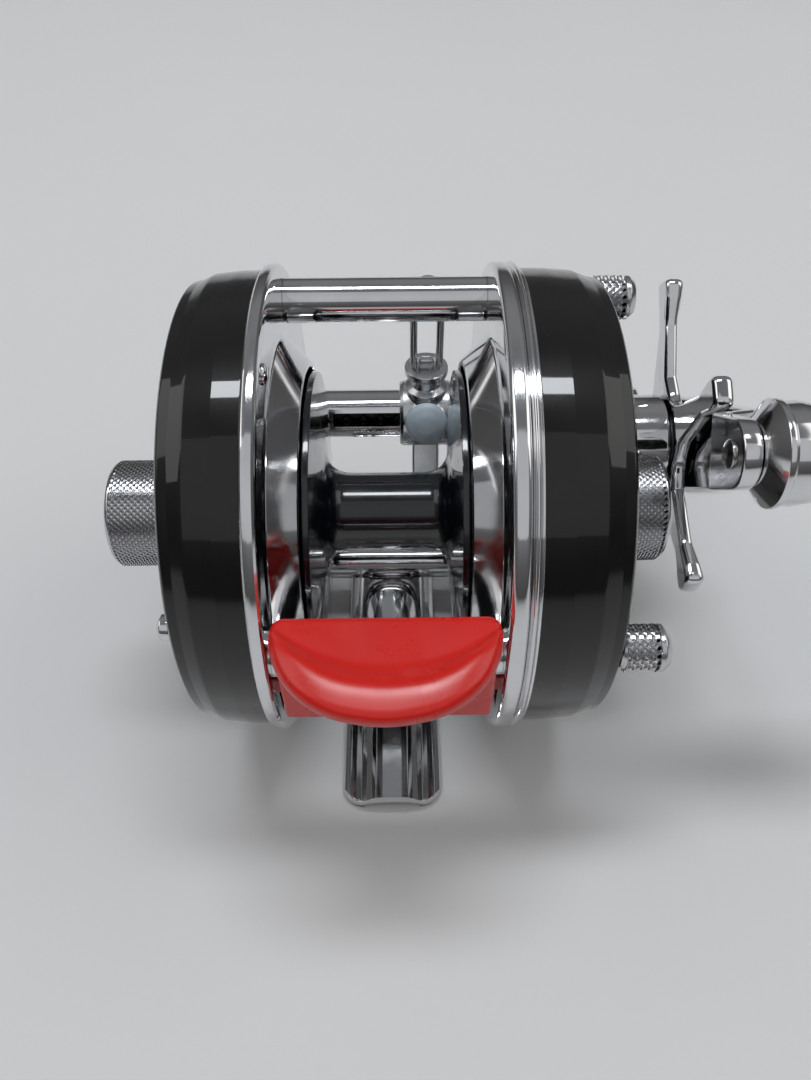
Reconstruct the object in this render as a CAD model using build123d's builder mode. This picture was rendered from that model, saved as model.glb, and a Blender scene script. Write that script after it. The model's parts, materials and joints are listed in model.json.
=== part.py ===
from build123d import *
import math
import os

# Baitcasting reel: round frame, star drag, double handle, level-wind line guide and thumb bar.
# Millimetres, +X to the handle side, +Y the way the line leaves, +Z up. The origin is the
# middle of the reel foot, on the plane where the foot meets the rod seat.

# ---------------------------------------------------------------- driving sizes
# whole reel
ring_radius = 27.0          # outside of the frame rings
axis_height = 30.0          # ring centre above the rod seat
frame_gap = 23.0            # clear width between the two frame plates
spool_offset = 2.0          # spool axis behind the ring centre
fit = 0.02                  # radial clearance of a seated fit
run = 0.06                  # radial clearance of a running fit
gap = 0.15                  # side clearance between moving faces
wall_play = 0.1             # clearance of parts that pass each other without guiding

# frame plates
plate_wall = 1.1
bead_depth = 1.6            # radial height of the rolled bead
bead_width = 1.9            # width of the bead, handle side
wide_bead_width = 1.5       # width of the bead, other side
cup_inset = 6.5             # ring's outside to the start of the dished cup
cup_depth = 2.9             # how far the cup stands into the frame
lip_radius = 16.8           # opening of the cup
lug_slot_width = 1.2        # slot in each plate for the thumb bar's lugs

# pillars and their screws
pillar_radius = 2.5
pillar_inset = 4.0          # ring's outside to the pillars' circle
pillar_angles = (52.5, 175.0, 289.5)
foot_pillar_angle = 250.5
spigot_radius = 1.7
screw_stem_radius = 1.0
screw_head_radius = 2.45
screw_head_length = 5.1
screw_engagement = 9.0      # length of stem inside the pillar
post_radius = 2.1           # posts in the right side plate round the screws
plate_screw_radius = 0.6
plate_screw_head_radius = 1.1
plate_screw_boss_radius = 1.4
left_screw_inset = 3.1       # ring's outside to the screws' circle
left_screw_angles = (103.0, 212.0, 318.0)

# side plates
side_step = 0.7             # ring's outside to the side plate's, next to the frame
side_taper = 0.9            # from there to the plate's outer edge
side_wall = 1.5
side_end_wall = 1.5
left_side_depth = 8.0
right_side_depth = 8.8
rim_ring_width = 0.8
thin_ring_width = 0.3
rim_ring_wall = 2.7

# spool
line_width = 14.0
arbor_radius = 4.5
arbor_fillet = 2.8
flange_wall = 1.0
flange_rim = 0.6            # extra width of the rolled flange edge
flange_gap = 0.5            # between flange edge and cup lip
shaft_radius = 1.5
shaft_tip_radius = 0.9
hub_radius = 3.0

# spool caps and their necks
cap_radius = 6.25
cap_left_length = 10.8
cap_right_length = 8.7
neck_radius = 4.2
neck_left_length = 5.0
neck_right_length = 4.0
cap_end_wall = 2.9
bush_radius = 2.6           # bush in the right neck

# spool bearing and bush
bearing_radius = 4.0
bearing_width = 3.0
race_wall = 0.7
ball_count = 7

# gear train
module = 0.4
main_teeth = 53
pinion_teeth = 11
wind_drive_teeth = 32
wind_teeth = 19
drive_angle = -7.5          # drive axis seen from the spool axis
wind_angle = -16.6          # line-guide axis seen from the drive axis
backlash = 0.10
gear_plate_wall = 1.0
drive_radius = 2.4
drive_tip_radius = 1.5      # inner end of the drive shaft, in the gear plate
wind_square_radius = 1.1    # end of the worm shaft that carries its gear
ratchet_teeth = 12
ratchet_radius = 5.2
ratchet_tip_radius = 5.9
dog_circle = 9.6            # dog's pivot round the drive axis
dog_angle = 95.0
dog_pivot_radius = 0.8
main_gear_width = 2.0
wind_gear_width = 1.2
drag_radius = 7.0
drag_wall = 0.4
drag_plate_wall = 0.5
pinion_length = 5.5
pinion_groove = 1.0
clutch_travel = 1.2
yoke_span = 8.2             # yoke pins to each side of the spool axis
yoke_pin_radius = 0.6
yoke_groove_radius = 1.7    # bottom of the pinion's groove
cam_height = 1.8
spring_peg_place = (-17.0, 17.0)
spring_peg_radius = 0.8
spring_peg_length = 2.4

# brake and clicker
drum_bore = 6.6
drum_wall = 0.8
block_length = 2.7
brake_offset = 2.7          # brake pin from the spool's outer face
brake_pin_radius = 0.5
click_teeth = 16
click_radius = 5.0
click_gear_wall = 1.0
click_pawl_circle = 8.6     # click pawl's pin round the spool axis
click_pawl_angle = 120.0
click_pin_radius = 0.75
click_button_inset = 4.1    # side plate's outside to the button's circle
click_button_angle = 167.5
click_button_radius = 1.4
click_button_travel = 2.6
click_stem = 0.7            # half width of the button's stem

# line guide
tube_radius = 3.3
tube_wall = 0.8
worm_radius = 1.5
carriage_width = 7.2
carriage_wall = 1.2
carriage_rest = 5.1         # carriage place at rest, from the middle
carriage_travel = 6.0       # to each side of the middle
pawl_angle = 155.0
pawl_radius = 1.5
pawl_cap_radius = 2.85
wire_radius = 0.5
wire_spacing = 3.4
wire_height = 17.2          # top of the wire loop above the ring centre

# drag star, crank and knobs
bushing_radius = 6.3
bushing_length = 11.7
bushing_spigot = 4.4        # part of the bushing inside the side plate
drag_sleeve_radius = 3.3
star_radius = 20.6
star_wall = 1.7
star_arms = 5
star_angle = 48.5           # first arm
crank_radius = 31.2
crank_wall = 1.8
crank_width = 6.8
crank_hub_width = 12.0
crank_angle = 138.3         # near knob, seen from the drive axis
crank_sweep = 4.9           # how far the ends are bent back towards the side plate
bend_start = 21.4           # just outside the star's tips
bend_end = 24.6
spindle_radius = 1.2
spindle_head_radius = 1.35
knob_length = 20.5
knob_foot_radius = 3.1
knob_rim_radius = 5.2
knob_waist_radius = 4.2
knob_flare = 1.5
nut_radius = 4.4            # across the corners
nut_height = 3.0
retainer_reach = 8.6        # keeper's screw from the drive axis
retainer_wall = 0.8
retainer_screw_radius = 0.8

# thumb bar
bar_width = 21.6
bar_top = 10.9              # above the ring centre
bar_wall = 2.2
bar_front = -24.0           # straight edge next to the spool
bar_depth = 11.1            # straight edge to the tip of the half moon
bar_travel = 3.5
skirt_wall = 1.5
skirt_drop = 12.2
lug_height = 2.5
lug_inset = 0.3             # skirt and arms inside the width of the pad
arm_wall = 1.3

# foot
foot_front = 30.0
foot_rear = 26.0
foot_width = 12.8
foot_wall = 1.6
foot_edge = 0.6             # height of the foot's square edge
foot_bevel = 0.9
foot_land = 0.8             # flat strip along each edge, which stands on the rod seat
foot_sag = 11.5             # radius of the hollow underside
saddle = (9.0, 24.0)        # raised middle, across and along
rivet_radius = 0.9
rivet_head_radius = 1.6

# ---------------------------------------------------------------- worked-out places
half_gap = frame_gap / 2
ring = (0.0, axis_height)
spool_axis = (-spool_offset, axis_height)
pillar_circle = ring_radius - pillar_inset
left_screw_circle = ring_radius - left_screw_inset
cup_radius = ring_radius - cup_inset
rim_ring_bore = ring_radius - rim_ring_wall
side_radius = ring_radius - side_step
side_edge_radius = side_radius - side_taper
click_button_circle = side_radius - click_button_inset


def polar(centre, radius, angle):
    """The (y, z) point at radius and angle from centre, angle 0 forward and 90 up."""
    turn_by = math.radians(angle)
    return (centre[0] + radius * math.cos(turn_by), centre[1] + radius * math.sin(turn_by))


drive_axis = polar(spool_axis, module * (main_teeth + pinion_teeth) / 2, drive_angle)
wind_axis = polar(drive_axis, module * (wind_drive_teeth + wind_teeth) / 2, wind_angle)

plate_out = half_gap + plate_wall
bead_out = half_gap + bead_width
wide_bead_out = half_gap + wide_bead_width
rim_out = bead_out + rim_ring_width
right_in = rim_out + thin_ring_width
right_out = right_in + right_side_depth
right_wall_in = right_out - side_end_wall
left_out = -(wide_bead_out + left_side_depth)
left_wall_in = left_out + side_end_wall

gear_plate_in = bead_out + 0.1
gear_plate_out = gear_plate_in + gear_plate_wall
cup_lip_x = half_gap - cup_depth
flange_radius = lip_radius - flange_gap
flange_in = line_width / 2

cap_left_tip = left_out - gap - cap_left_length
cap_right_tip = right_out + gap + cap_right_length
shaft_left = cap_left_tip + cap_end_wall + 0.3
shaft_right = cap_right_tip - cap_end_wall - 0.3
shaft_step = gear_plate_out

bushing_out = right_out + bushing_length
star_in = bushing_out + 0.35
star_out = star_in + star_wall
crank_in = star_out + 0.3
crank_out = crank_in + crank_wall
nut_out = crank_out + nut_height
crank_end_in = crank_in - crank_sweep
crank_end_out = crank_end_in + crank_wall
near_knob = polar(drive_axis, crank_radius, crank_angle)
far_knob = polar(drive_axis, crank_radius, crank_angle + 180)

# stack on the drive shaft, from the gear plate outwards
ratchet_in = gear_plate_out + 0.15
ratchet_out = ratchet_in + 0.8
wind_gear_in = ratchet_out + 0.2
wind_gear_out = wind_gear_in + wind_gear_width
main_in = wind_gear_out + drag_wall
main_out = main_in + main_gear_width
drag_plate_in = main_out + drag_wall
drag_plate_out = drag_plate_in + drag_plate_wall

pinion_in = gear_plate_out + 0.2
pinion_out = pinion_in + pinion_length
groove_in = pinion_in + 0.4
groove_out = groove_in + pinion_groove

lug_top = axis_height - 1.4
lug_front = bar_front + 1.0
skirt_out = bar_front - pillar_radius - 0.9
cam_bottom = lug_top - cam_height
cam_rear = lug_front - 0.2
ear_z = axis_height - 0.6
click_x = -(plate_out + 0.9)
brake_x = flange_in + flange_wall + brake_offset
bearing_x = (left_wall_in + 1.0, left_wall_in + 1.0 + bearing_width)
wind_relief = module * (wind_teeth / 2 + 0.8) + gap
sag_rise = foot_sag - math.sqrt(foot_sag**2 - (foot_width / 2 - foot_land) ** 2)

pillar_places = [polar(ring, pillar_circle, angle) for angle in pillar_angles]
foot_pillar = polar(ring, pillar_circle, foot_pillar_angle)
foot_places = (pillar_places[2], foot_pillar)
left_screw_places = [polar(ring, left_screw_circle, angle) for angle in left_screw_angles]
click_pivot = polar(spool_axis, click_pawl_circle, click_pawl_angle)
click_button_place = polar(ring, click_button_circle, click_button_angle)
yoke_pin_places = [polar(spool_axis, yoke_span, drive_angle + side * 90) for side in (-1, 1)]
dog_pivot_place = polar(drive_axis, dog_circle, dog_angle)
retainer_place = polar(drive_axis, -retainer_reach, crank_angle)


# ---------------------------------------------------------------- helpers
def across(x, at=(0.0, 0.0)):
    """Plane square to the spool axis at x; its own axes are forward and up from at."""
    return Plane(origin=(x, at[0], at[1]), x_dir=(0, 1, 0), z_dir=(1, 0, 0))


def along(at):
    """Plane through the axis at, for profiles drawn as (x, radius)."""
    return Plane(origin=(0, at[0], at[1]), x_dir=(1, 0, 0), z_dir=(0, -1, 0))


def spin(at):
    """The axis through at, parallel to the spool's."""
    return Axis((0, at[0], at[1]), (1, 0, 0))


def save(piece, label):
    piece.part.label = label
    export_step(piece.part, f"parts/{label}.step")


def turned(at, profile):
    """A turned piece: a closed (x, radius) profile spun about the axis at."""
    with BuildPart() as piece:
        with BuildSketch(along(at)):
            with BuildLine():
                Polyline(*profile, close=True)
            make_face()
        revolve(axis=spin(at))
    return piece


def sleeve(at, x0, x1, outer, inner):
    """A plain sleeve or washer between x0 and x1."""
    with BuildPart() as piece:
        with BuildSketch(across(x0, at)):
            Circle(outer)
            Circle(inner, mode=Mode.SUBTRACT)
        extrude(amount=x1 - x0)
    return piece


def disc(at, x0, x1, radius, mode=Mode.ADD):
    """A disc in the piece being built, or a hole when mode subtracts."""
    centre = ((x0 + x1) / 2, at[0], at[1])
    with Locations(Location(centre, (0, 90, 0))):
        Cylinder(radius, x1 - x0, mode=mode)


def block(x, y, z, mode=Mode.ADD):
    """A box in the piece being built, from (low, high) pairs."""
    with Locations(((x[0] + x[1]) / 2, (y[0] + y[1]) / 2, (z[0] + z[1]) / 2)):
        Box(x[1] - x[0], y[1] - y[0], z[1] - z[0], mode=mode)


def toothed(teeth, phase, slack=backlash):
    """Gear outline in the sketch being built, one tooth centred on phase."""
    pitch = module * teeth / 2
    tip = pitch + 0.8 * module
    root = pitch - 1.2 * module
    at_pitch = math.pi * module / 4 - slack
    at_tip = at_pitch - 0.36 * (tip - pitch)
    at_root = at_pitch + 0.25 * (pitch - root)
    inner = root * math.cos(math.atan(at_root / root)) - 0.05
    Circle(root)
    with PolarLocations(0, teeth, start_angle=phase):
        Polygon(
            (inner, -at_root), (root, -at_root), (pitch, -at_pitch), (tip, -at_tip),
            (tip, at_tip), (pitch, at_pitch), (root, at_root), (inner, at_root), align=None,
        )


# ---------------------------------------------------------------- frame
def cup_profile(side):
    """Dished cup of a frame plate as (x, radius) round the spool axis."""
    lean = plate_wall * 1.25
    return [
        (side * half_gap, cup_radius + 0.4),
        (side * half_gap, cup_radius),
        (side * cup_lip_x, lip_radius + 0.5),
        (side * cup_lip_x, lip_radius),
        (side * (cup_lip_x + lean), lip_radius),
        (side * plate_out, cup_radius + 0.4),
    ]


def cup_relief(side):
    """Room for the dished cup, cut from what stands on the frame plate beside it."""
    return [
        (side * half_gap, cup_radius + wall_play),
        (side * (cup_lip_x - gap), lip_radius + 0.4),
        (side * (cup_lip_x - gap), lip_radius - 1),
        (side * half_gap, lip_radius - 1),
    ]


def frame_plate(side, bead):
    """Chromed frame plate with rolled bead, dished cup and the holes for what it carries."""
    low, high = sorted((side * half_gap, side * plate_out))
    bead_radius = ring_radius - bead_depth / 2
    bead_middle = side * (half_gap + bead / 2)
    with BuildPart() as plate:
        with BuildSketch(across(low, ring)):
            Circle(bead_radius)
        extrude(amount=high - low)
        disc(spool_axis, low - 1, high + 1, cup_radius, mode=Mode.SUBTRACT)
        with BuildSketch(along(spool_axis)):
            with BuildLine():
                Polyline(*cup_profile(side), close=True)
            make_face()
        revolve(axis=spin(spool_axis))
        with BuildSketch(along(ring)):
            with Locations((bead_middle, bead_radius)):
                RectangleRounded(bead, bead_depth, bead_depth * 0.42)
        revolve(axis=spin(ring))
        for place in pillar_places + [foot_pillar]:
            disc(place, low - 3, high + 3, spigot_radius + fit, mode=Mode.SUBTRACT)
        disc(wind_axis, low - 3, high + 3, tube_radius + fit, mode=Mode.SUBTRACT)
        # slot that guides the thumb bar's lug
        block(
            (side * half_gap - 2, side * half_gap + 2),
            (lug_front - lug_slot_width - run, lug_front + run),
            (lug_top - lug_height - bar_travel - run, lug_top + run),
            mode=Mode.SUBTRACT,
        )
        if side < 0:
            for place in left_screw_places:
                disc(place, low - 1, high + 1, plate_screw_radius + fit, mode=Mode.SUBTRACT)
    return plate


def pillars():
    """Four round pillars; three are threaded for the thumb screws, one only carries the foot."""
    with BuildPart() as group:
        for place in pillar_places + [foot_pillar]:
            disc(place, -half_gap, half_gap, pillar_radius)
            disc(place, -plate_out, plate_out + 0.7, spigot_radius)
        for place in pillar_places:
            disc(
                place, half_gap - screw_engagement, plate_out + 1,
                screw_stem_radius + fit, mode=Mode.SUBTRACT,
            )
        # a pillar end stands against the dished cup
        for side in (-1, 1):
            with BuildSketch(along(spool_axis)):
                with BuildLine():
                    Polyline(*cup_relief(side), close=True)
                make_face()
            revolve(axis=spin(spool_axis), mode=Mode.SUBTRACT)
    return group


def reel_foot():
    """Stamped saddle foot: hollow underside between two flat strips, and a raised middle."""
    length = foot_front + foot_rear
    half = foot_width / 2
    shoulder = half - foot_bevel
    land = half - foot_land
    crown = sag_rise + foot_wall
    seat_top = foot_pillar[1] - pillar_radius
    saddle_bottom = crown - foot_bevel
    with BuildPart() as foot:
        with BuildSketch(Plane.XZ.offset(-foot_front)):
            with BuildLine():
                Polyline((-land, 0), (-half, 0), (-half, foot_edge), (-shoulder, foot_wall))
                ThreePointArc((-shoulder, foot_wall), (0, crown), (shoulder, foot_wall))
                Polyline((shoulder, foot_wall), (half, foot_edge), (half, 0), (land, 0))
                ThreePointArc((land, 0), (0, sag_rise), (-land, 0))
            make_face()
        extrude(amount=length)
        # rounded ends
        with BuildSketch(Plane.XY):
            with Locations((0, (foot_front - foot_rear) / 2)):
                RectangleRounded(foot_width, length, foot_width / 4)
        extrude(amount=crown, mode=Mode.INTERSECT)
        # raised middle that carries the pillars
        with BuildSketch(Plane.XY.offset(saddle_bottom)):
            RectangleRounded(*saddle, foot_width / 5)
        extrude(amount=seat_top + rivet_head_radius - 0.4 - saddle_bottom)
        for place in foot_places:
            disc(place, -foot_width, foot_width, pillar_radius + fit, mode=Mode.SUBTRACT)
            with Locations((0, place[0], 0)):
                Cylinder(rivet_radius + fit, 2 * seat_top, mode=Mode.SUBTRACT)
                Cylinder(rivet_head_radius + fit, 2 * (sag_rise + 0.05), mode=Mode.SUBTRACT)
    return foot


def foot_rivets():
    """Two rivets up through the foot into its pillars."""
    top = foot_pillar[1] - pillar_radius
    with BuildPart() as rivets:
        for place in foot_places:
            with Locations((0, place[0], (sag_rise + top) / 2)):
                Cylinder(rivet_radius, top - sag_rise)
            with Locations((0, place[0], sag_rise - 0.2)):
                Cylinder(rivet_head_radius, 0.5)
    return rivets


# ---------------------------------------------------------------- line guide
def level_wind_tube():
    """Polished guide tube, slotted along its length for the pawl."""
    end = half_gap - 1.8
    slot = carriage_travel + 1.6
    with BuildPart() as tube:
        disc(wind_axis, -end, end, tube_radius)
        disc(wind_axis, -end - 1, end + 1, tube_radius - tube_wall, mode=Mode.SUBTRACT)
        away = polar(wind_axis, tube_radius, pawl_angle)
        with Locations(Location((0, away[0], away[1]), (pawl_angle, 0, 0))):
            Box(2 * slot, 2 * tube_wall + 1.2, 1.9, mode=Mode.SUBTRACT)
    return tube


def tube_end_bushes():
    """Flanged bushes that seat the tube in the frame plates and carry the worm shaft."""
    with BuildPart() as bushes:
        for side in (-1, 1):
            shoulder = sorted((side * (half_gap - 1.8), side * half_gap))
            spigot = sorted((side * half_gap, side * plate_out))
            core = sorted((side * (half_gap - 3.4), side * (half_gap - 1.8)))
            disc(wind_axis, *shoulder, tube_radius + 0.25)
            disc(wind_axis, *spigot, tube_radius)
            disc(wind_axis, *core, tube_radius - tube_wall)
            ends = sorted(core + spigot)
            disc(wind_axis, ends[0] - 1, ends[-1] + 1, worm_radius + run, mode=Mode.SUBTRACT)
            with BuildSketch(along(spool_axis)):
                with BuildLine():
                    Polyline(*cup_relief(side), close=True)
                make_face()
            revolve(axis=spin(spool_axis), mode=Mode.SUBTRACT)
    return bushes


def worm_shaft():
    """Worm shaft with crossing grooves and a square end for its gear."""
    groove_span = carriage_travel + 1.0
    turns = 7
    with BuildPart() as worm:
        disc(wind_axis, -plate_out - 0.6, wind_gear_in, worm_radius)
        disc(wind_axis, -half_gap + 3.6, half_gap - 3.6, worm_radius + 0.5)
        for lean in (-32, 32):
            for k in range(turns):
                x = -groove_span + 2 * groove_span * k / (turns - 1)
                with Locations(Location((x, wind_axis[0], wind_axis[1]), (0, 90 + lean, 0))):
                    Cylinder(worm_radius + 1.6, 0.7, mode=Mode.SUBTRACT)
        disc(wind_axis, -plate_out - 0.6, half_gap - 3.6, worm_radius - 0.1)
        disc(wind_axis, wind_gear_in, wind_gear_out + 0.2, wind_square_radius)
    return worm


def worm_gear():
    """Gear on the worm shaft, meshed with the drive shaft's small gear."""
    with BuildPart() as gear:
        with BuildSketch(across(wind_gear_in, wind_axis)):
            toothed(wind_teeth, wind_angle + 180 + 180 / wind_teeth)
            Circle(wind_square_radius + fit, mode=Mode.SUBTRACT)
        extrude(amount=wind_gear_width)
    return gear


def carriage():
    """Line-guide carriage: sleeve on the tube, turned post for the wires and a boss for the pawl."""
    low = carriage_rest - carriage_width / 2
    high = carriage_rest + carriage_width / 2
    outer = tube_radius + carriage_wall
    post = (carriage_rest, wind_axis[0], wind_axis[1])
    with BuildPart() as body:
        disc(wind_axis, low, high, outer)
        # turned post, two flanges with a waist between
        with BuildSketch(Plane(origin=post, x_dir=(1, 0, 0), z_dir=(0, -1, 0))):
            with BuildLine():
                Polyline(
                    (0, 0), (2.9, 0), (2.9, outer + 0.4), (2.0, outer + 0.9), (2.0, outer + 2.4),
                    (2.9, outer + 2.9), (2.9, outer + 3.8), (0, outer + 3.8), close=True,
                )
            make_face()
        revolve(axis=Axis(post, (0, 0, 1)))
        # boss that holds the pawl
        with Locations(Location(post, (90 + pawl_angle - 180, 0, 0))):
            Cylinder(
                pawl_cap_radius - 0.05, outer + 0.4, align=(Align.CENTER, Align.CENTER, Align.MIN)
            )
        # leg under the sleeve
        leg = polar(wind_axis, 5.4, 252)
        with Locations(Location((carriage_rest, leg[0], leg[1]), (252, 0, 0))):
            Box(3.8, 8.4, 2.6)
        disc(wind_axis, low - 1, high + 1, tube_radius + run, mode=Mode.SUBTRACT)
        with Locations(Location(post, (90 + pawl_angle - 180, 0, 0))):
            Cylinder(
                pawl_radius + 0.1, outer + 3, align=(Align.CENTER, Align.CENTER, Align.MIN),
                mode=Mode.SUBTRACT,
            )
        for side in (-1, 1):
            foot_of_wire = (carriage_rest + side * wire_spacing / 2, wind_axis[0], post[2] + outer + 2.3)
            with Locations(foot_of_wire):
                Cylinder(
                    wire_radius + fit, 2, align=(Align.CENTER, Align.CENTER, Align.MIN), mode=Mode.SUBTRACT
                )
    return body


def line_guide_wire():
    """Bent wire loop that the line runs through."""
    bottom = wind_axis[1] + tube_radius + carriage_wall + 2.3
    top = axis_height + wire_height - wire_radius
    half = wire_spacing / 2
    left = carriage_rest - half
    right = carriage_rest + half
    y = wind_axis[0]
    with BuildPart() as wire:
        with BuildLine() as path:
            up = Line((left, y, bottom), (left, y, top - half))
            bend = ThreePointArc(up @ 1, (carriage_rest, y, top), (right, y, top - half))
            Line(bend @ 1, (right, y, bottom))
        with BuildSketch(Plane(origin=path.line @ 0, z_dir=path.line % 0)):
            Circle(wire_radius)
        sweep()
    return wire


def pawl_frame():
    """Plane through the pawl's axis: x to the handle side, y outwards along the pawl."""
    side = polar((0.0, 0.0), 1.0, pawl_angle + 90)
    origin = (carriage_rest, wind_axis[0], wind_axis[1])
    return Plane(origin=origin, x_dir=(1, 0, 0), z_dir=(0, side[0], side[1]))


def pawl_turned(profile):
    """A piece turned about the pawl's axis, from (radius, distance from the worm axis) points."""
    frame = pawl_frame()
    with BuildPart() as piece:
        with BuildSketch(frame):
            with BuildLine():
                Polyline(*profile, close=True)
            make_face()
        revolve(axis=Axis(frame.origin, frame.y_dir))
    return piece


def pawl():
    """Pawl: round stem with a thin blade that follows the worm's groove."""
    blade = worm_radius + 0.5 + run
    outer = tube_radius + carriage_wall
    return pawl_turned([
        (0, blade), (0.7, blade), (0.7, tube_radius - 0.2), (pawl_radius, tube_radius + 0.3),
        (pawl_radius, outer + 0.3), (0, outer + 0.3),
    ])


def pawl_cap():
    """Domed cap screwed over the pawl."""
    seat = tube_radius + carriage_wall + 0.4
    return pawl_turned([
        (0, seat), (pawl_cap_radius, seat), (pawl_cap_radius, seat + 0.5),
        (pawl_cap_radius - 0.45, seat + 0.9), (pawl_cap_radius - 1.45, seat + 1.2), (0, seat + 1.3),
    ])


# ---------------------------------------------------------------- left side
def side_plate_profile(x_open, x_closed):
    """Cup with three faceted bands, closed at its outer end, as (x, radius) round the ring axis."""
    step = (x_closed - x_open) / 3
    way = math.copysign(1, x_closed)
    wall_in = x_closed - way * side_end_wall
    inner = side_radius - side_wall - 0.2
    return [
        (x_open, inner), (x_open, side_radius), (x_open + step, side_radius - 0.05),
        (x_open + 2 * step, side_radius - 0.3), (x_closed - way * 1.3, side_edge_radius),
        (x_closed - way * 0.35, side_edge_radius - 0.15), (x_closed, side_edge_radius - 0.6),
        (x_closed, 0), (wall_in, 0), (wall_in, inner - 1.0), (wall_in - way * 1.0, inner),
    ]


def neck(x_wall, x_end, bore):
    """Threaded neck round the spool axis, in the piece being built, with its bore."""
    low, high = sorted((x_wall, x_end))
    disc(spool_axis, low, high, neck_radius)
    disc(spool_axis, low - 2, high + 1, bore, mode=Mode.SUBTRACT)


def left_side_plate():
    """Left side plate with its bearing boss, neck, screw bosses and the click button's slot."""
    boss_end = left_wall_in + bearing_width + 1.0
    with BuildPart() as plate:
        with BuildSketch(along(ring)):
            with BuildLine():
                Polyline(*side_plate_profile(-wide_bead_out, left_out), close=True)
            make_face()
        revolve(axis=spin(ring))
        neck(left_out, left_out - neck_left_length, shaft_radius + 0.5)
        disc(spool_axis, left_wall_in - 0.5, boss_end, bearing_radius + 1.2)
        disc(
            spool_axis, bearing_x[0] - 0.2, boss_end + 1,
            bearing_radius + fit, mode=Mode.SUBTRACT,
        )
        disc(spool_axis, left_out - 1, boss_end, shaft_radius + 0.5, mode=Mode.SUBTRACT)
        for place in left_screw_places:
            disc(place, left_wall_in - 0.5, -plate_out, plate_screw_boss_radius)
            disc(
                place, left_wall_in + 1.5, -plate_out + 1,
                plate_screw_radius + fit, mode=Mode.SUBTRACT,
            )
        disc(click_pivot, left_wall_in - 0.5, click_x - 0.9, 2 * click_pin_radius)
        disc(click_pivot, click_x - 2.5, click_x, click_pin_radius + fit, mode=Mode.SUBTRACT)
        block(
            (left_out - 1, left_wall_in + 1),
            (click_button_place[0] - click_stem - run, click_button_place[0] + click_stem + run),
            (
                click_button_place[1] - click_stem - click_button_travel - run,
                click_button_place[1] + click_stem + run,
            ),
            mode=Mode.SUBTRACT,
        )
    return plate


def left_plate_screws():
    """Three domed screws through the frame plate into the left side plate."""
    with BuildPart() as screws:
        for place in left_screw_places:
            disc(place, -plate_out - 3.5, -half_gap, plate_screw_radius)
            disc(place, -half_gap, -half_gap + 0.55, plate_screw_head_radius)
        fillet(screws.edges().filter_by(GeomType.CIRCLE).group_by(Axis.X)[-1], 0.5)
    return screws


def spool_cap(x_open, x_tip):
    """Knurled cap that screws on a neck and sets the spool's end play."""
    way = math.copysign(1, x_tip)
    cavity = x_tip - way * cap_end_wall
    return turned(spool_axis, [
        (x_open, neck_radius + fit), (x_open, cap_radius - 0.5), (x_open + way * 0.5, cap_radius),
        (x_tip - way * 1.2, cap_radius), (x_tip - way * 0.3, cap_radius - 0.8), (x_tip, cap_radius - 1.8),
        (x_tip - way * 0.5, 2.2), (x_tip - way * 0.5, 0), (cavity, 0), (cavity, neck_radius + fit),
    ])


def click_button():
    """Round sliding button with a stem and a keeper behind the plate."""
    y, z = click_button_place
    with BuildPart() as button:
        disc((y, z), left_out - 1.7, left_out - gap, click_button_radius)
        block(
            (left_out - gap, left_wall_in + gap),
            (y - click_stem, y + click_stem), (z - click_stem, z + click_stem),
        )
        block((left_wall_in + gap, left_wall_in + gap + 0.6), (y - 1.2, y + 1.2), (z - 1.5, z + 1.5))
        fillet(button.edges().filter_by(GeomType.CIRCLE).group_by(Axis.X)[0], 0.4)
    return button


def click_gear():
    """Toothed wheel of the line-out clicker."""
    with BuildPart() as gear:
        with BuildSketch(across(click_x - click_gear_wall, spool_axis)):
            Circle(click_radius - 0.7)
            with PolarLocations(0, click_teeth):
                Polygon(
                    (click_radius - 1.0, -0.6), (click_radius, -0.2), (click_radius, 0.2),
                    (click_radius - 1.0, 0.6), align=None,
                )
            Circle(shaft_radius + fit, mode=Mode.SUBTRACT)
        extrude(amount=click_gear_wall)
    return gear


def click_pawl():
    """Small pawl beside the click gear, on its own pin."""
    reach = click_pawl_circle - click_radius - 3 * gap
    with BuildPart() as piece:
        with BuildSketch(across(click_x - 0.8, click_pivot)):
            Circle(1.3)
            with Locations(Location((0, 0), click_pawl_angle)):
                Polygon((0, -1.0), (0, 1.0), (-reach, 0.25), (-reach, -0.25), align=None)
        extrude(amount=0.6)
        disc(click_pivot, click_x - 2.3, click_x, click_pin_radius)
    return piece


# ---------------------------------------------------------------- spool
def spool():
    """Spool turned in one piece: arbor, filleted flanges with rolled edges, short hubs."""
    outer = flange_in + flange_wall
    rim = outer + flange_rim
    hub_left = -(plate_out - 2.4)
    hub_right = outer + 1.0
    with BuildPart() as reel:
        with BuildSketch(along(spool_axis)):
            with BuildLine():
                Polyline(
                    (-flange_in + arbor_fillet, arbor_radius), (flange_in - arbor_fillet, arbor_radius)
                )
                for side in (-1, 1):
                    corner = side * flange_in
                    bend = arbor_radius + arbor_fillet
                    inset = arbor_fillet * (1 - math.sqrt(0.5))
                    ThreePointArc(
                        (corner - side * arbor_fillet, arbor_radius),
                        (corner - side * inset, arbor_radius + inset), (corner, bend),
                    )
                    Polyline((corner, bend), (corner, flange_radius), (side * rim, flange_radius))
                Polyline(
                    (rim, flange_radius), (rim, flange_radius - 1.1), (outer, flange_radius - 1.6),
                    (outer, hub_radius), (hub_right, hub_radius), (hub_right, shaft_radius + fit),
                    (hub_left, shaft_radius + fit), (hub_left, hub_radius), (-outer, hub_radius),
                    (-outer, flange_radius - 1.6), (-rim, flange_radius - 1.1), (-rim, flange_radius),
                )
            make_face()
        revolve(axis=spin(spool_axis))
    return reel


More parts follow.
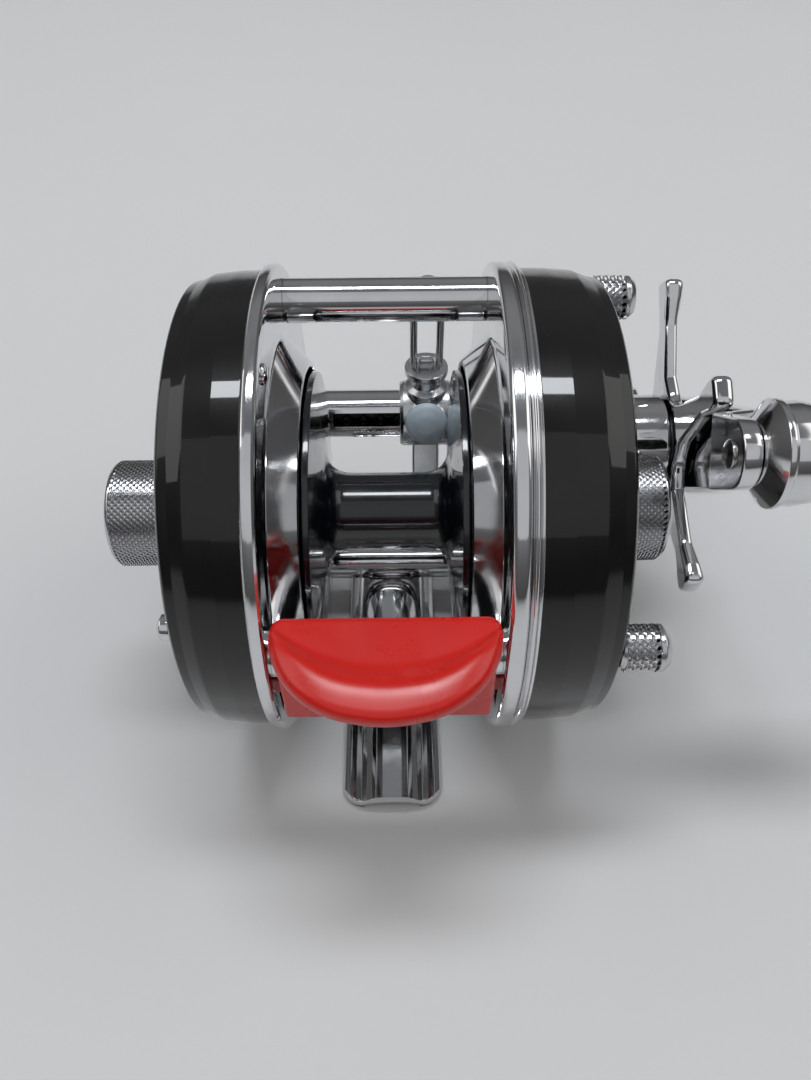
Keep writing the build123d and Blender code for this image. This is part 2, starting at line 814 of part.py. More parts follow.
def spool_shaft():
    """Stepped shaft, thin at its right end where the pinion runs on it."""
    with BuildPart() as shaft:
        disc(spool_axis, shaft_left, shaft_step, shaft_radius)
        disc(spool_axis, shaft_step, shaft_right, shaft_tip_radius)
        chamfer(shaft.edges().filter_by(GeomType.CIRCLE).group_by(Axis.X)[0], 0.4)
        chamfer(shaft.edges().filter_by(GeomType.CIRCLE).group_by(Axis.X)[-1], 0.3)
        with Locations((brake_x, spool_axis[0], spool_axis[1])):
            Cylinder(brake_pin_radius + fit, 2 * shaft_radius + 1, mode=Mode.SUBTRACT)
    return shaft


def brake_pin():
    """Cross pin of the centrifugal brake."""
    with BuildPart() as pin:
        with Locations((brake_x, spool_axis[0], spool_axis[1])):
            Cylinder(brake_pin_radius, 2 * (drum_bore - 0.9))
    return pin


def brake_blocks():
    """Two centrifugal brake blocks that slide on the cross pin inside the drum."""
    middle = drum_bore - 0.55 - block_length / 2
    with BuildPart() as blocks:
        for side in (-1, 1):
            with Locations((brake_x, spool_axis[0], spool_axis[1] + side * middle)):
                Box(2.0, 2.4, block_length)
        fillet(blocks.edges().filter_by(Axis.Z), 0.5)
        with Locations((brake_x, spool_axis[0], spool_axis[1])):
            Cylinder(brake_pin_radius + fit, 2 * drum_bore, mode=Mode.SUBTRACT)
    return blocks


def bearing_outer_race():
    """Outer race of the spool bearing, seated in the left side plate."""
    return turned(spool_axis, [
        (bearing_x[0], bearing_radius - race_wall), (bearing_x[0], bearing_radius),
        (bearing_x[1], bearing_radius), (bearing_x[1], bearing_radius - race_wall),
    ])


def bearing_inner_race():
    """Inner race of the spool bearing, on the spool shaft."""
    return turned(spool_axis, [
        (bearing_x[0], shaft_radius + fit), (bearing_x[0], shaft_radius + race_wall),
        (bearing_x[1], shaft_radius + race_wall), (bearing_x[1], shaft_radius + fit),
    ])


def bearing_balls():
    """Balls between the races of the spool bearing."""
    middle = (bearing_radius + shaft_radius) / 2
    size = (bearing_radius - shaft_radius) / 2 - race_wall - run / 2
    with BuildPart() as balls:
        for k in range(ball_count):
            y, z = polar(spool_axis, middle, 360 * k / ball_count)
            with Locations(((bearing_x[0] + bearing_x[1]) / 2, y, z)):
                Sphere(size)
    return balls


# ---------------------------------------------------------------- right side
def rim_ring():
    """Second chromed ring, which joins the right side plate to the gear plate."""
    with BuildPart() as hoop:
        with BuildSketch(along(ring)):
            with BuildLine():
                Polyline(
                    (bead_out, rim_ring_bore), (bead_out, ring_radius - 0.3), (bead_out + 0.25, ring_radius),
                    (rim_out - 0.25, ring_radius), (rim_out, ring_radius - 0.5), (rim_out, ring_radius - 0.35),
                    (right_in, ring_radius - 0.35), (right_in, rim_ring_bore), close=True,
                )
            make_face()
        revolve(axis=spin(ring))
        for place in pillar_places:
            disc(place, bead_out - 1, right_in + 1, post_radius + wall_play, mode=Mode.SUBTRACT)
    return hoop


def right_side_plate():
    """Right side plate with neck, posts for the thumb screws and the hole for the drive bushing."""
    with BuildPart() as plate:
        with BuildSketch(along(ring)):
            with BuildLine():
                Polyline(*side_plate_profile(right_in, right_out), close=True)
            make_face()
        revolve(axis=spin(ring))
        neck(right_out, right_out + neck_right_length, bush_radius + fit)
        for place in pillar_places:
            disc(place, gear_plate_out + 0.05, right_wall_in + 0.5, post_radius)
            disc(
                place, gear_plate_out - 1, right_out + 1,
                screw_stem_radius + wall_play, mode=Mode.SUBTRACT,
            )
        disc(drive_axis, right_wall_in - 1, right_out + 1, bushing_spigot + fit, mode=Mode.SUBTRACT)
        disc(wind_axis, right_in - 1, wind_gear_out + 0.3, wind_relief, mode=Mode.SUBTRACT)
    return plate


def right_bush():
    """Bronze bush in the right neck for the thin end of the spool shaft."""
    end = right_out + neck_right_length - 0.2
    return sleeve(spool_axis, right_wall_in, end, bush_radius, shaft_tip_radius + run)


def gear_plate():
    """Plate inside the right side that carries the gears, the clutch and the brake drum."""
    below = gear_plate_in - 1
    above = gear_plate_out + 1
    with BuildPart() as plate:
        with BuildSketch(across(gear_plate_in, ring)):
            Circle(rim_ring_bore - fit)
        extrude(amount=gear_plate_wall)
        disc(spool_axis, below, above, shaft_radius + 0.6, mode=Mode.SUBTRACT)
        disc(drive_axis, below, above, drive_tip_radius + run, mode=Mode.SUBTRACT)
        disc(wind_axis, below, above, worm_radius + run, mode=Mode.SUBTRACT)
        for place in pillar_places:
            disc(place, below, above, screw_stem_radius + wall_play, mode=Mode.SUBTRACT)
        for place in yoke_pin_places:
            disc(place, below, above, yoke_pin_radius + fit, mode=Mode.SUBTRACT)
        disc(dog_pivot_place, below, above, dog_pivot_radius + fit, mode=Mode.SUBTRACT)
        # slot for the foot of the clutch cam
        block(
            (below, above), (lug_front - 3.5, cam_rear + 1.0 + gap),
            (cam_bottom - bar_travel - gap, lug_top + gap), mode=Mode.SUBTRACT,
        )
        disc(spring_peg_place, gear_plate_out, gear_plate_out + spring_peg_length, spring_peg_radius)
    return plate


def brake_drum():
    """Drum on the gear plate that the brake blocks rub on."""
    return sleeve(spool_axis, brake_x - 1.6, gear_plate_in, drum_bore + drum_wall, drum_bore)


def drive_shaft():
    """Shaft that carries the gears, the drag, the star and the crank."""
    with BuildPart() as shaft:
        disc(drive_axis, gear_plate_in + 0.1, ratchet_in - 0.1, drive_tip_radius)
        disc(drive_axis, ratchet_in - 0.1, nut_out + 0.5, drive_radius)
        chamfer(shaft.edges().filter_by(GeomType.CIRCLE).group_by(Axis.X)[-1], 0.4)
    return shaft


def ratchet():
    """Anti-reverse ratchet with saw teeth."""
    root = ratchet_radius - 0.3
    with BuildPart() as wheel:
        with BuildSketch(across(ratchet_in, drive_axis)):
            Circle(ratchet_radius)
            with PolarLocations(0, ratchet_teeth):
                Polygon((root, -1.2), (ratchet_tip_radius, 1.1), (root, 1.25), align=None)
            Circle(drive_radius + fit, mode=Mode.SUBTRACT)
        extrude(amount=ratchet_out - ratchet_in)
    return wheel


def anti_reverse_dog():
    """Dog on its own pivot, held just off the ratchet's teeth."""
    reach = dog_circle - ratchet_tip_radius - 0.25
    with BuildPart() as dog:
        with BuildSketch(across(ratchet_in, dog_pivot_place)):
            Circle(2 * dog_pivot_radius)
            with Locations(Location((0, 0), dog_angle)):
                Polygon((0.6, -1.5), (0.6, 1.5), (-reach, 1.0), (-reach, 0.2), align=None)
            Circle(dog_pivot_radius + run, mode=Mode.SUBTRACT)
        extrude(amount=ratchet_out - ratchet_in)
    return dog


def dog_pivot():
    """Headed pin that the anti-reverse dog swings on."""
    with BuildPart() as pivot:
        disc(dog_pivot_place, gear_plate_in + 0.1, ratchet_out + 0.1, dog_pivot_radius)
        disc(dog_pivot_place, ratchet_out + 0.1, ratchet_out + 0.6, 1.4)
    return pivot


def wind_drive_gear():
    """Small gear on the drive shaft that turns the worm."""
    with BuildPart() as gear:
        with BuildSketch(across(wind_gear_in, drive_axis)):
            toothed(wind_drive_teeth, wind_angle)
            Circle(drive_radius + fit, mode=Mode.SUBTRACT)
        extrude(amount=wind_gear_width)
        disc(drive_axis, ratchet_out, wind_gear_in, 3.6)
        disc(drive_axis, ratchet_out - 1, wind_gear_in + 1, drive_radius + fit, mode=Mode.SUBTRACT)
    return gear


def main_gear():
    """Main gear, driven through the drag discs."""
    with BuildPart() as gear:
        with BuildSketch(across(main_in, drive_axis)):
            toothed(main_teeth, drive_angle + 180)
            Circle(drive_radius + fit, mode=Mode.SUBTRACT)
        extrude(amount=main_gear_width)
    return gear


def drag_discs():
    """Two fibre drag discs, one on each face of the main gear."""
    with BuildPart() as discs:
        disc(drive_axis, wind_gear_out, main_in, drag_radius - 1.6)
        disc(drive_axis, main_out, drag_plate_in, drag_radius)
        disc(drive_axis, wind_gear_out - 1, drag_plate_in + 1, drive_radius + fit, mode=Mode.SUBTRACT)
    return discs


def pinion():
    """Pinion on the spool shaft, grooved for the clutch yoke."""
    with BuildPart() as gear:
        with BuildSketch(across(groove_out, spool_axis)):
            toothed(pinion_teeth, drive_angle + 180 / pinion_teeth)
        extrude(amount=pinion_out - groove_out)
        disc(spool_axis, pinion_in, groove_in, 2.5)
        disc(spool_axis, groove_in, groove_out, yoke_groove_radius)
        disc(spool_axis, pinion_in - 1, pinion_out + 1, shaft_tip_radius + run, mode=Mode.SUBTRACT)
    return gear


def yoke():
    """Clutch yoke that straddles the pinion's groove and slides on two pins."""
    thick = pinion_groove - 0.2
    with BuildPart() as fork:
        with BuildSketch(across(groove_in + 0.1, spool_axis)):
            with Locations(Location((0, 0), drive_angle)):
                SlotCenterToCenter(2 * yoke_span, 4.4, rotation=90)
                with Locations((0, yoke_span), (0, -yoke_span)):
                    Circle(yoke_pin_radius + run, mode=Mode.SUBTRACT)
                Circle(yoke_groove_radius + run, mode=Mode.SUBTRACT)
                with Locations((yoke_span / 2, 0)):
                    Rectangle(yoke_span, 2 * (yoke_groove_radius + run), mode=Mode.SUBTRACT)
        extrude(amount=thick)
        # ear that the clutch cam lifts
        block(
            (groove_in + 0.1, groove_in + 0.1 + thick), (spool_axis[0] - 6.5, spool_axis[0] - 1.9),
            (ear_z - 0.6, ear_z + 0.6),
        )
    return fork


def yoke_pins():
    """Two pins that the yoke slides on."""
    with BuildPart() as pins:
        for place in yoke_pin_places:
            disc(place, gear_plate_in, right_wall_in - 0.05, yoke_pin_radius)
    return pins


def yoke_springs():
    """Coil springs round the yoke pins, drawn as their outer sleeves at rest."""
    with BuildPart() as springs:
        for place in yoke_pin_places:
            disc(place, groove_out + 0.1, right_wall_in - 0.05, 1.4)
            disc(place, groove_out, right_wall_in, 0.9, mode=Mode.SUBTRACT)
    return springs


def clutch_cam():
    """Sliding cam moved by the thumb bar; its ramp lifts the yoke."""
    low = gear_plate_out + 0.1
    rise = clutch_travel / bar_travel
    face = groove_in - 0.2
    high = face - run
    ramp_top = ear_z + bar_travel + 0.6
    ramp_face = face + rise * (ramp_top - ear_z)
    ramp_y = spool_axis[0] - 6.4
    with BuildPart() as cam:
        block((low, high), (ramp_y - 7.0, ramp_y + 2.2), (cam_bottom, ramp_top + 0.6))
        block((low, high), (cam_rear, ramp_y - 5.0), (cam_bottom, cam_bottom + cam_height))
        block((plate_out + gap, high), (cam_rear, cam_rear + 1.0), (cam_bottom, cam_bottom + cam_height))
        with BuildSketch(Plane.XZ.offset(-ramp_y)):
            with BuildLine():
                Polyline(
                    (low, ear_z), (face, ear_z), (ramp_face, ramp_top), (ramp_face, ramp_top + 0.6),
                    (low, ramp_top + 0.6), close=True,
                )
            make_face()
        extrude(amount=-2.2)
    return cam


def cam_spring():
    """Return spring of the cam and thumb bar, drawn as its outer sleeve."""
    y, z = spring_peg_place
    with BuildPart() as spring:
        with Locations((gear_plate_out + 1.3, y, (z + spring_peg_radius + cam_bottom) / 2)):
            Cylinder(1.0, cam_bottom - z - spring_peg_radius)
            Cylinder(0.65, cam_bottom, mode=Mode.SUBTRACT)
    return spring


# ---------------------------------------------------------------- handle side
def shaft_bushing():
    """Chromed bushing on the side plate that the drive shaft turns in."""
    recess = bushing_out - 1.6
    with BuildPart() as bushing:
        disc(drive_axis, right_out, bushing_out, bushing_radius)
        fillet(bushing.edges().filter_by(GeomType.CIRCLE).group_by(Axis.X)[-1], 0.8)
        disc(drive_axis, right_wall_in - 0.6, right_out, bushing_spigot)
        disc(
            drive_axis, right_wall_in - 1.6, bushing_out + 1,
            drag_sleeve_radius + run, mode=Mode.SUBTRACT,
        )
        disc(drive_axis, recess, bushing_out + 1, 4.7, mode=Mode.SUBTRACT)
    return bushing


def drag_plate():
    """Steel drag plate with the sleeve that the star presses on."""
    with BuildPart() as plate:
        disc(drive_axis, drag_plate_in, drag_plate_out, drag_radius)
        disc(drive_axis, drag_plate_out, bushing_out - 1.3, drag_sleeve_radius)
        disc(drive_axis, drag_plate_in - 1, bushing_out, drive_radius + run, mode=Mode.SUBTRACT)
    return plate


def star_spring():
    """Dished spring washer between the sleeve and the star."""
    return turned(drive_axis, [
        (bushing_out - 1.3, drive_radius + run), (bushing_out - 1.3, 3.0), (bushing_out - 0.35, 4.4),
        (bushing_out + 0.15, 4.4), (bushing_out - 0.8, drive_radius + run),
    ])


def star_drag():
    """Star with five rounded arms."""
    tip = 1.9
    with BuildPart() as star:
        with BuildSketch(across(star_in, drive_axis)):
            Circle(7.4)
            with PolarLocations(0, star_arms, start_angle=star_angle):
                Polygon(
                    (3.0, -3.6), (8.6, -2.1), (star_radius - tip, -1.55),
                    (star_radius - tip, 1.55), (8.6, 2.1), (3.0, 3.6), align=None,
                )
            with PolarLocations(star_radius - tip, star_arms, start_angle=star_angle):
                Circle(tip)
            Circle(drive_radius + run, mode=Mode.SUBTRACT)
        extrude(amount=star_wall)
        disc(drive_axis, star_in - 0.15, star_in, 4.0)
        disc(drive_axis, star_in - 1, star_out + 1, drive_radius + run, mode=Mode.SUBTRACT)
    return star


def crank():
    """Crank bar with a flat middle; its ends are bent back past the star and carry the knobs."""
    tip = crank_radius + crank_width / 2
    width = crank_hub_width + 1
    bar = [(-tip, crank_end_in), (-bend_end, crank_end_in), (-bend_start, crank_in)]
    bar += [(-t, x) for t, x in reversed(bar)]
    shift = crank_wall * math.tan(math.atan2(crank_sweep, bend_end - bend_start) / 2)
    upper = [(-tip, crank_end_out), (-bend_end - shift, crank_end_out), (-bend_start - shift, crank_out)]
    upper += [(-t, x) for t, x in reversed(upper)]
    turn_by = math.radians(crank_angle)
    side_view = Plane(
        origin=(0, *drive_axis), x_dir=(0, math.cos(turn_by), math.sin(turn_by)),
        z_dir=(0, math.sin(turn_by), -math.cos(turn_by)),
    )
    with BuildPart() as arm:
        # side view: along the bar and away from the side plate
        with BuildSketch(side_view):
            with BuildLine():
                Polyline(*bar, *reversed(upper), close=True)
            make_face()
        extrude(amount=width / 2, both=True)
        with BuildSketch(across(crank_end_in, drive_axis)):
            with Locations(Location((0, 0), crank_angle)):
                Circle(crank_hub_width / 2)
                with Locations((crank_radius, 0), (-crank_radius, 0)):
                    Circle(crank_width / 2)
                make_hull()
                with Locations((crank_radius, 0), (-crank_radius, 0)):
                    Circle(spindle_radius + fit, mode=Mode.SUBTRACT)
                with Locations((-retainer_reach, 0)):
                    Circle(retainer_screw_radius + fit, mode=Mode.SUBTRACT)
                Circle(drive_radius + fit, mode=Mode.SUBTRACT)
        extrude(amount=crank_out - crank_end_in, mode=Mode.INTERSECT)
    return arm


def handle_nut():
    """Hexagon nut on the end of the drive shaft."""
    with BuildPart() as nut:
        with BuildSketch(across(crank_out, drive_axis)):
            with Locations(Location((0, 0), crank_angle)):
                RegularPolygon(nut_radius, 6)
            Circle(drive_radius + fit, mode=Mode.SUBTRACT)
        extrude(amount=nut_height)
    return nut


def nut_retainer():
    """Thin keeper plate round the nut, held by its own small screw."""
    with BuildPart() as keeper:
        with BuildSketch(across(crank_out, drive_axis)):
            with Locations(Location((0, 0), crank_angle)):
                Circle(5.2)
                with Locations((-retainer_reach / 2, 0)):
                    Rectangle(retainer_reach, nut_radius)
                with Locations((-retainer_reach, 0)):
                    Circle(2.2)
                RegularPolygon(nut_radius + 2 * fit, 6, mode=Mode.SUBTRACT)
                with Locations((-retainer_reach, 0)):
                    Circle(retainer_screw_radius + fit, mode=Mode.SUBTRACT)
        extrude(amount=retainer_wall)
    return keeper


def retainer_screw():
    """Slotted screw of the nut keeper."""
    seat = crank_out + retainer_wall
    top = seat + 0.9
    with BuildPart() as screw:
        disc(retainer_place, crank_in + 0.3, seat, retainer_screw_radius)
        disc(retainer_place, seat, top, 1.5)
        with Locations(Location((top, *retainer_place), (crank_angle, 0, 0))):
            Box(0.8, 4, 0.4, mode=Mode.SUBTRACT)
    return screw


def knob(at):
    """Turned knob: small foot, flared rim, waisted grip and a rounded end."""
    start = crank_end_out + gap
    end = start + knob_length
    rim = start + knob_flare
    grip_start = rim + 0.8
    grip_end = end - 1.6
    with BuildPart() as grip:
        with BuildSketch(along(at)):
            with BuildLine():
                Polyline(
                    (start, 0), (start, knob_foot_radius), (rim, knob_rim_radius),
                    (rim + 0.6, knob_rim_radius),
                )
                Line((rim + 0.6, knob_rim_radius), (grip_start, knob_rim_radius - 0.4))
                ThreePointArc(
                    (grip_start, knob_rim_radius - 0.4),
                    ((start + end) / 2 + 1.5, knob_waist_radius),
                    (grip_end, knob_rim_radius - 0.3),
                )
                ThreePointArc(
                    (grip_end, knob_rim_radius - 0.3),
                    (end - 0.5, knob_rim_radius - 0.9),
                    (end, knob_rim_radius - 2.2),
                )
                Polyline((end, knob_rim_radius - 2.2), (end, 0), (start, 0))
            make_face()
        revolve(axis=spin(at))
        disc(at, start - 1, end - 2.0, spindle_radius + run, mode=Mode.SUBTRACT)
    return grip


def knob_spindles():
    """Riveted spindles that carry the knobs."""
    with BuildPart() as pins:
        for place in (near_knob, far_knob):
            disc(place, crank_end_in, crank_end_out + knob_length - 2.4, spindle_radius)
            disc(place, crank_end_in - 0.5, crank_end_in, spindle_head_radius)
    return pins


def thumb_screw(at):
    """Knurled thumb screw that holds the right side plate to its pillar."""
    head_in = right_out
    head_out = right_out + screw_head_length
    stem_end = half_gap - screw_engagement + 0.5
    return turned(at, [
        (stem_end, 0), (stem_end, screw_stem_radius), (head_in, screw_stem_radius),
        (head_in, screw_head_radius - 0.4), (head_in + 0.4, screw_head_radius),
        (head_out - 1.0, screw_head_radius), (head_out - 0.3, screw_head_radius - 0.5),
        (head_out, screw_head_radius - 1.2), (head_out, 0),
    ])


# ---------------------------------------------------------------- thumb bar
def thumb_bar():
    """Thumb bar: half-moon pad over a skirt, with a lug at each end that slides in the frame."""
    top = axis_height + bar_top
    half = bar_width / 2
    shoulder = bar_front - 2.6
    flank = (half * 0.68, bar_front - bar_depth + 2.3)
    tip = (half * 0.25, bar_front - bar_depth + 0.3)
    skirt_y = (skirt_out, skirt_out + skirt_wall)
    lug_y = (lug_front - lug_slot_width, lug_front)
    lug_z = (lug_top - lug_height, lug_top)
    with BuildPart() as bar:
        with BuildSketch(Plane.XY.offset(top - bar_wall)):
            with BuildLine():
                Polyline((-half, shoulder), (-half, bar_front), (half, bar_front), (half, shoulder))
                ThreePointArc((half, shoulder), flank, tip)
                ThreePointArc(tip, (0, bar_front - bar_depth), (-tip[0], tip[1]))
                ThreePointArc((-tip[0], tip[1]), (-flank[0], flank[1]), (-half, shoulder))
            make_face()
        extrude(amount=bar_wall)
        fillet(bar.edges().filter_by(Axis.Z).group_by(Axis.Y)[-1], 1.6)
        # shallow dish for the thumb
        with Locations((0, bar_front - 3.9, top + 21.6)):
            Sphere(22.4, mode=Mode.SUBTRACT)
        block((-half + lug_inset, half - lug_inset), skirt_y, (top - skirt_drop, top - bar_wall + 0.2))
        for side in (-1, 1):
            arm_out = side * (half - lug_inset)
            arm_in = side * (half - lug_inset - arm_wall)
            arm_x = sorted((arm_out, arm_in))
            block(arm_x, skirt_y, (lug_z[0], top - skirt_drop + 0.5))
            block(arm_x, (skirt_out, lug_y[0]), lug_z)
            block(sorted((arm_in, side * (plate_out + wall_play))), lug_y, lug_z)
    return bar


def build_all():
    os.makedirs("parts", exist_ok=True)
    save(frame_plate(1, bead_width), "frame_plate_right")
    save(frame_plate(-1, wide_bead_width), "frame_plate_left")
    save(pillars(), "pillars")
    save(reel_foot(), "reel_foot")
    save(foot_rivets(), "foot_rivets")
    save(level_wind_tube(), "level_wind_tube")
    save(tube_end_bushes(), "tube_end_bushes")
    save(worm_shaft(), "worm_shaft")
    save(worm_gear(), "worm_gear")
    save(carriage(), "carriage")
    save(line_guide_wire(), "line_guide_wire")
    save(pawl(), "pawl")
    save(pawl_cap(), "pawl_cap")
    save(left_side_plate(), "left_side_plate")
    save(left_plate_screws(), "left_plate_screws")
    save(spool_cap(left_out - gap, cap_left_tip), "left_spool_cap")
    save(click_button(), "click_button")
    save(click_gear(), "click_gear")
    save(click_pawl(), "click_pawl")
    save(spool(), "spool")
    save(spool_shaft(), "spool_shaft")
    save(brake_pin(), "brake_pin")
    save(brake_blocks(), "brake_blocks")
    save(bearing_outer_race(), "bearing_outer_race")
    save(bearing_inner_race(), "bearing_inner_race")
    save(bearing_balls(), "bearing_balls")
    save(rim_ring(), "rim_ring")
    save(right_side_plate(), "right_side_plate")
    save(right_bush(), "right_bush")
    save(gear_plate(), "gear_plate")
    save(brake_drum(), "brake_drum")
    save(drive_shaft(), "drive_shaft")
    save(ratchet(), "ratchet")
    save(anti_reverse_dog(), "anti_reverse_dog")
    save(dog_pivot(), "dog_pivot")
    save(wind_drive_gear(), "wind_drive_gear")
    save(main_gear(), "main_gear")
    save(drag_discs(), "drag_discs")
    save(drag_plate(), "drag_plate")
    save(pinion(), "pinion")
    save(yoke(), "yoke")
    save(yoke_pins(), "yoke_pins")
    save(yoke_springs(), "yoke_springs")
    save(clutch_cam(), "clutch_cam")
    save(shaft_bushing(), "shaft_bushing")
    save(spool_cap(right_out + gap, cap_right_tip), "right_spool_cap")
    save(star_spring(), "star_spring")
    save(star_drag(), "star_drag")
    save(crank(), "crank")
    save(handle_nut(), "handle_nut")
    save(nut_retainer(), "nut_retainer")
    save(retainer_screw(), "retainer_screw")
    save(knob(near_knob), "knob_near")
    save(knob(far_knob), "knob_far")
    save(knob_spindles(), "knob_spindles")
    for place, label in zip(pillar_places, ("top", "rear", "bottom")):
        save(thumb_screw(place), f"thumb_screw_{label}")
    save(thumb_bar(), "thumb_bar")
    save(cam_spring(), "cam_spring")


build_all()
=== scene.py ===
import json
import math

import bmesh
import bpy
from mathutils import Matrix, Vector


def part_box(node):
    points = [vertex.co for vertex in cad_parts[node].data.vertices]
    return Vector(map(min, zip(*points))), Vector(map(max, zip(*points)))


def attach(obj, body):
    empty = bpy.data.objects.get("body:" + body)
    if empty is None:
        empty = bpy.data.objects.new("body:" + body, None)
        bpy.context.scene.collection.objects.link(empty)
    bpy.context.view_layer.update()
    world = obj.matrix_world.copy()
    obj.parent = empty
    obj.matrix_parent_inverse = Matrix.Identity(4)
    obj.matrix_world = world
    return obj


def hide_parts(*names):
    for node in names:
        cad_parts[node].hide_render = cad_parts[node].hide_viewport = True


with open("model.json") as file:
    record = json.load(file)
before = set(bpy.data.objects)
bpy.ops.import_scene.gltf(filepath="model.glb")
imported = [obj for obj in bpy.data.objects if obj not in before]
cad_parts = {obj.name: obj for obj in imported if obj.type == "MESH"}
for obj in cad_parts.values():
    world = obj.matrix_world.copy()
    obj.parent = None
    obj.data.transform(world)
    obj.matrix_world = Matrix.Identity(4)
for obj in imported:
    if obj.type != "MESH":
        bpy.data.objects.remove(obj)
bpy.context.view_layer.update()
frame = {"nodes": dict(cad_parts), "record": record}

# Lengths in this file are millimetres, as in the part; a mesh is written in metres.
MM = 0.001

# ---- places, read from the part
joints = {joint["name"]: joint for joint in frame["record"]["behaviour"]["joints"]}


def axis_of(joint):
    """(y, z) of a joint's axis."""
    place = joints[joint]["pos_m"]
    return (place[1] / MM, place[2] / MM)


def span(node, axis=0):
    """(low, high) of a CAD node along an axis."""
    low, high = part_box(node)
    return (low[axis] / MM, high[axis] / MM)


def radius_of(node):
    """Half the height of a round CAD node."""
    low, high = span(node, 2)
    return (high - low) / 2


spool_axis = axis_of("spool_turn")
drive_axis = axis_of("handle_turn")
wind_axis = axis_of("worm_turn")
near_knob = axis_of("near_knob_turn")
far_knob = axis_of("far_knob_turn")
screw_places = [axis_of(name) for name in ("top_screw_turn", "rear_screw_turn", "bottom_screw_turn")]
ring_z = sum(span("frame_plate_right", 2)) / 2
ring = (0.0, ring_z)
ring_radius = radius_of("frame_plate_right")
foot_pillar = (-screw_places[2][0], screw_places[2][1])
# the screw heads stand 0.55 mm proud of the left frame plate's inner face
half_gap = 0.55 - span("left_plate_screws")[1]
# outer faces of the two side plates, short of their necks
left_face = span("left_side_plate")[0] + 5.0
right_face = span("right_side_plate")[1] - 4.0
carriage_x = joints["guide_pawl_swivel"]["pos_m"][0] / MM


def middle_of(node):
    """(y, z) of the middle of a CAD node's box."""
    return (sum(span(node, 1)) / 2, sum(span(node, 2)) / 2)


def polar(centre, radius, angle):
    turn_by = math.radians(angle)
    return (centre[0] + radius * math.cos(turn_by), centre[1] + radius * math.sin(turn_by))


def circle(x, centre, radius, count):
    """Points of a circle across X, round a (y, z) centre."""
    turns = [2 * math.pi * k / count for k in range(count)]
    return [(x, centre[0] + radius * math.cos(t), centre[1] + radius * math.sin(t)) for t in turns]


def smooth_step(t):
    t = min(1.0, max(0.0, t))
    return t * t * (3 - 2 * t)


# ---- shape tools
def soften(points, radius, closed=True, steps=3):
    """Rounds the corners of a (a, b) line; a point may carry its own radius as a third number."""
    out = []
    count = len(points)
    for k, point in enumerate(points):
        at = Vector(point[:2])
        want = point[2] if len(point) > 2 else radius
        if (not closed and k in (0, count - 1)) or want <= 0:
            out.append(tuple(at))
            continue
        before = Vector(points[k - 1][:2]) - at
        after = Vector(points[(k + 1) % count][:2]) - at
        angle = before.angle(after)
        if angle > math.pi - 0.02:
            out.append(tuple(at))
            continue
        reach = min(want / math.tan(angle / 2), 0.46 * before.length, 0.46 * after.length)
        first = at + before.normalized() * reach
        last = at + after.normalized() * reach
        count_here = steps if reach < 0.7 else 3 * steps
        for step in range(count_here + 1):
            t = step / count_here
            out.append(tuple(first * (1 - t) ** 2 + at * 2 * t * (1 - t) + last * t * t))
    return out


def quarter_round(radius, steps):
    """(across, inward) steps of a rounded edge, from the side to the face."""
    turns = [math.pi / 2 * k / steps for k in range(steps + 1)]
    return [(radius * (1 - math.sin(t)), radius * (1 - math.cos(t))) for t in turns]


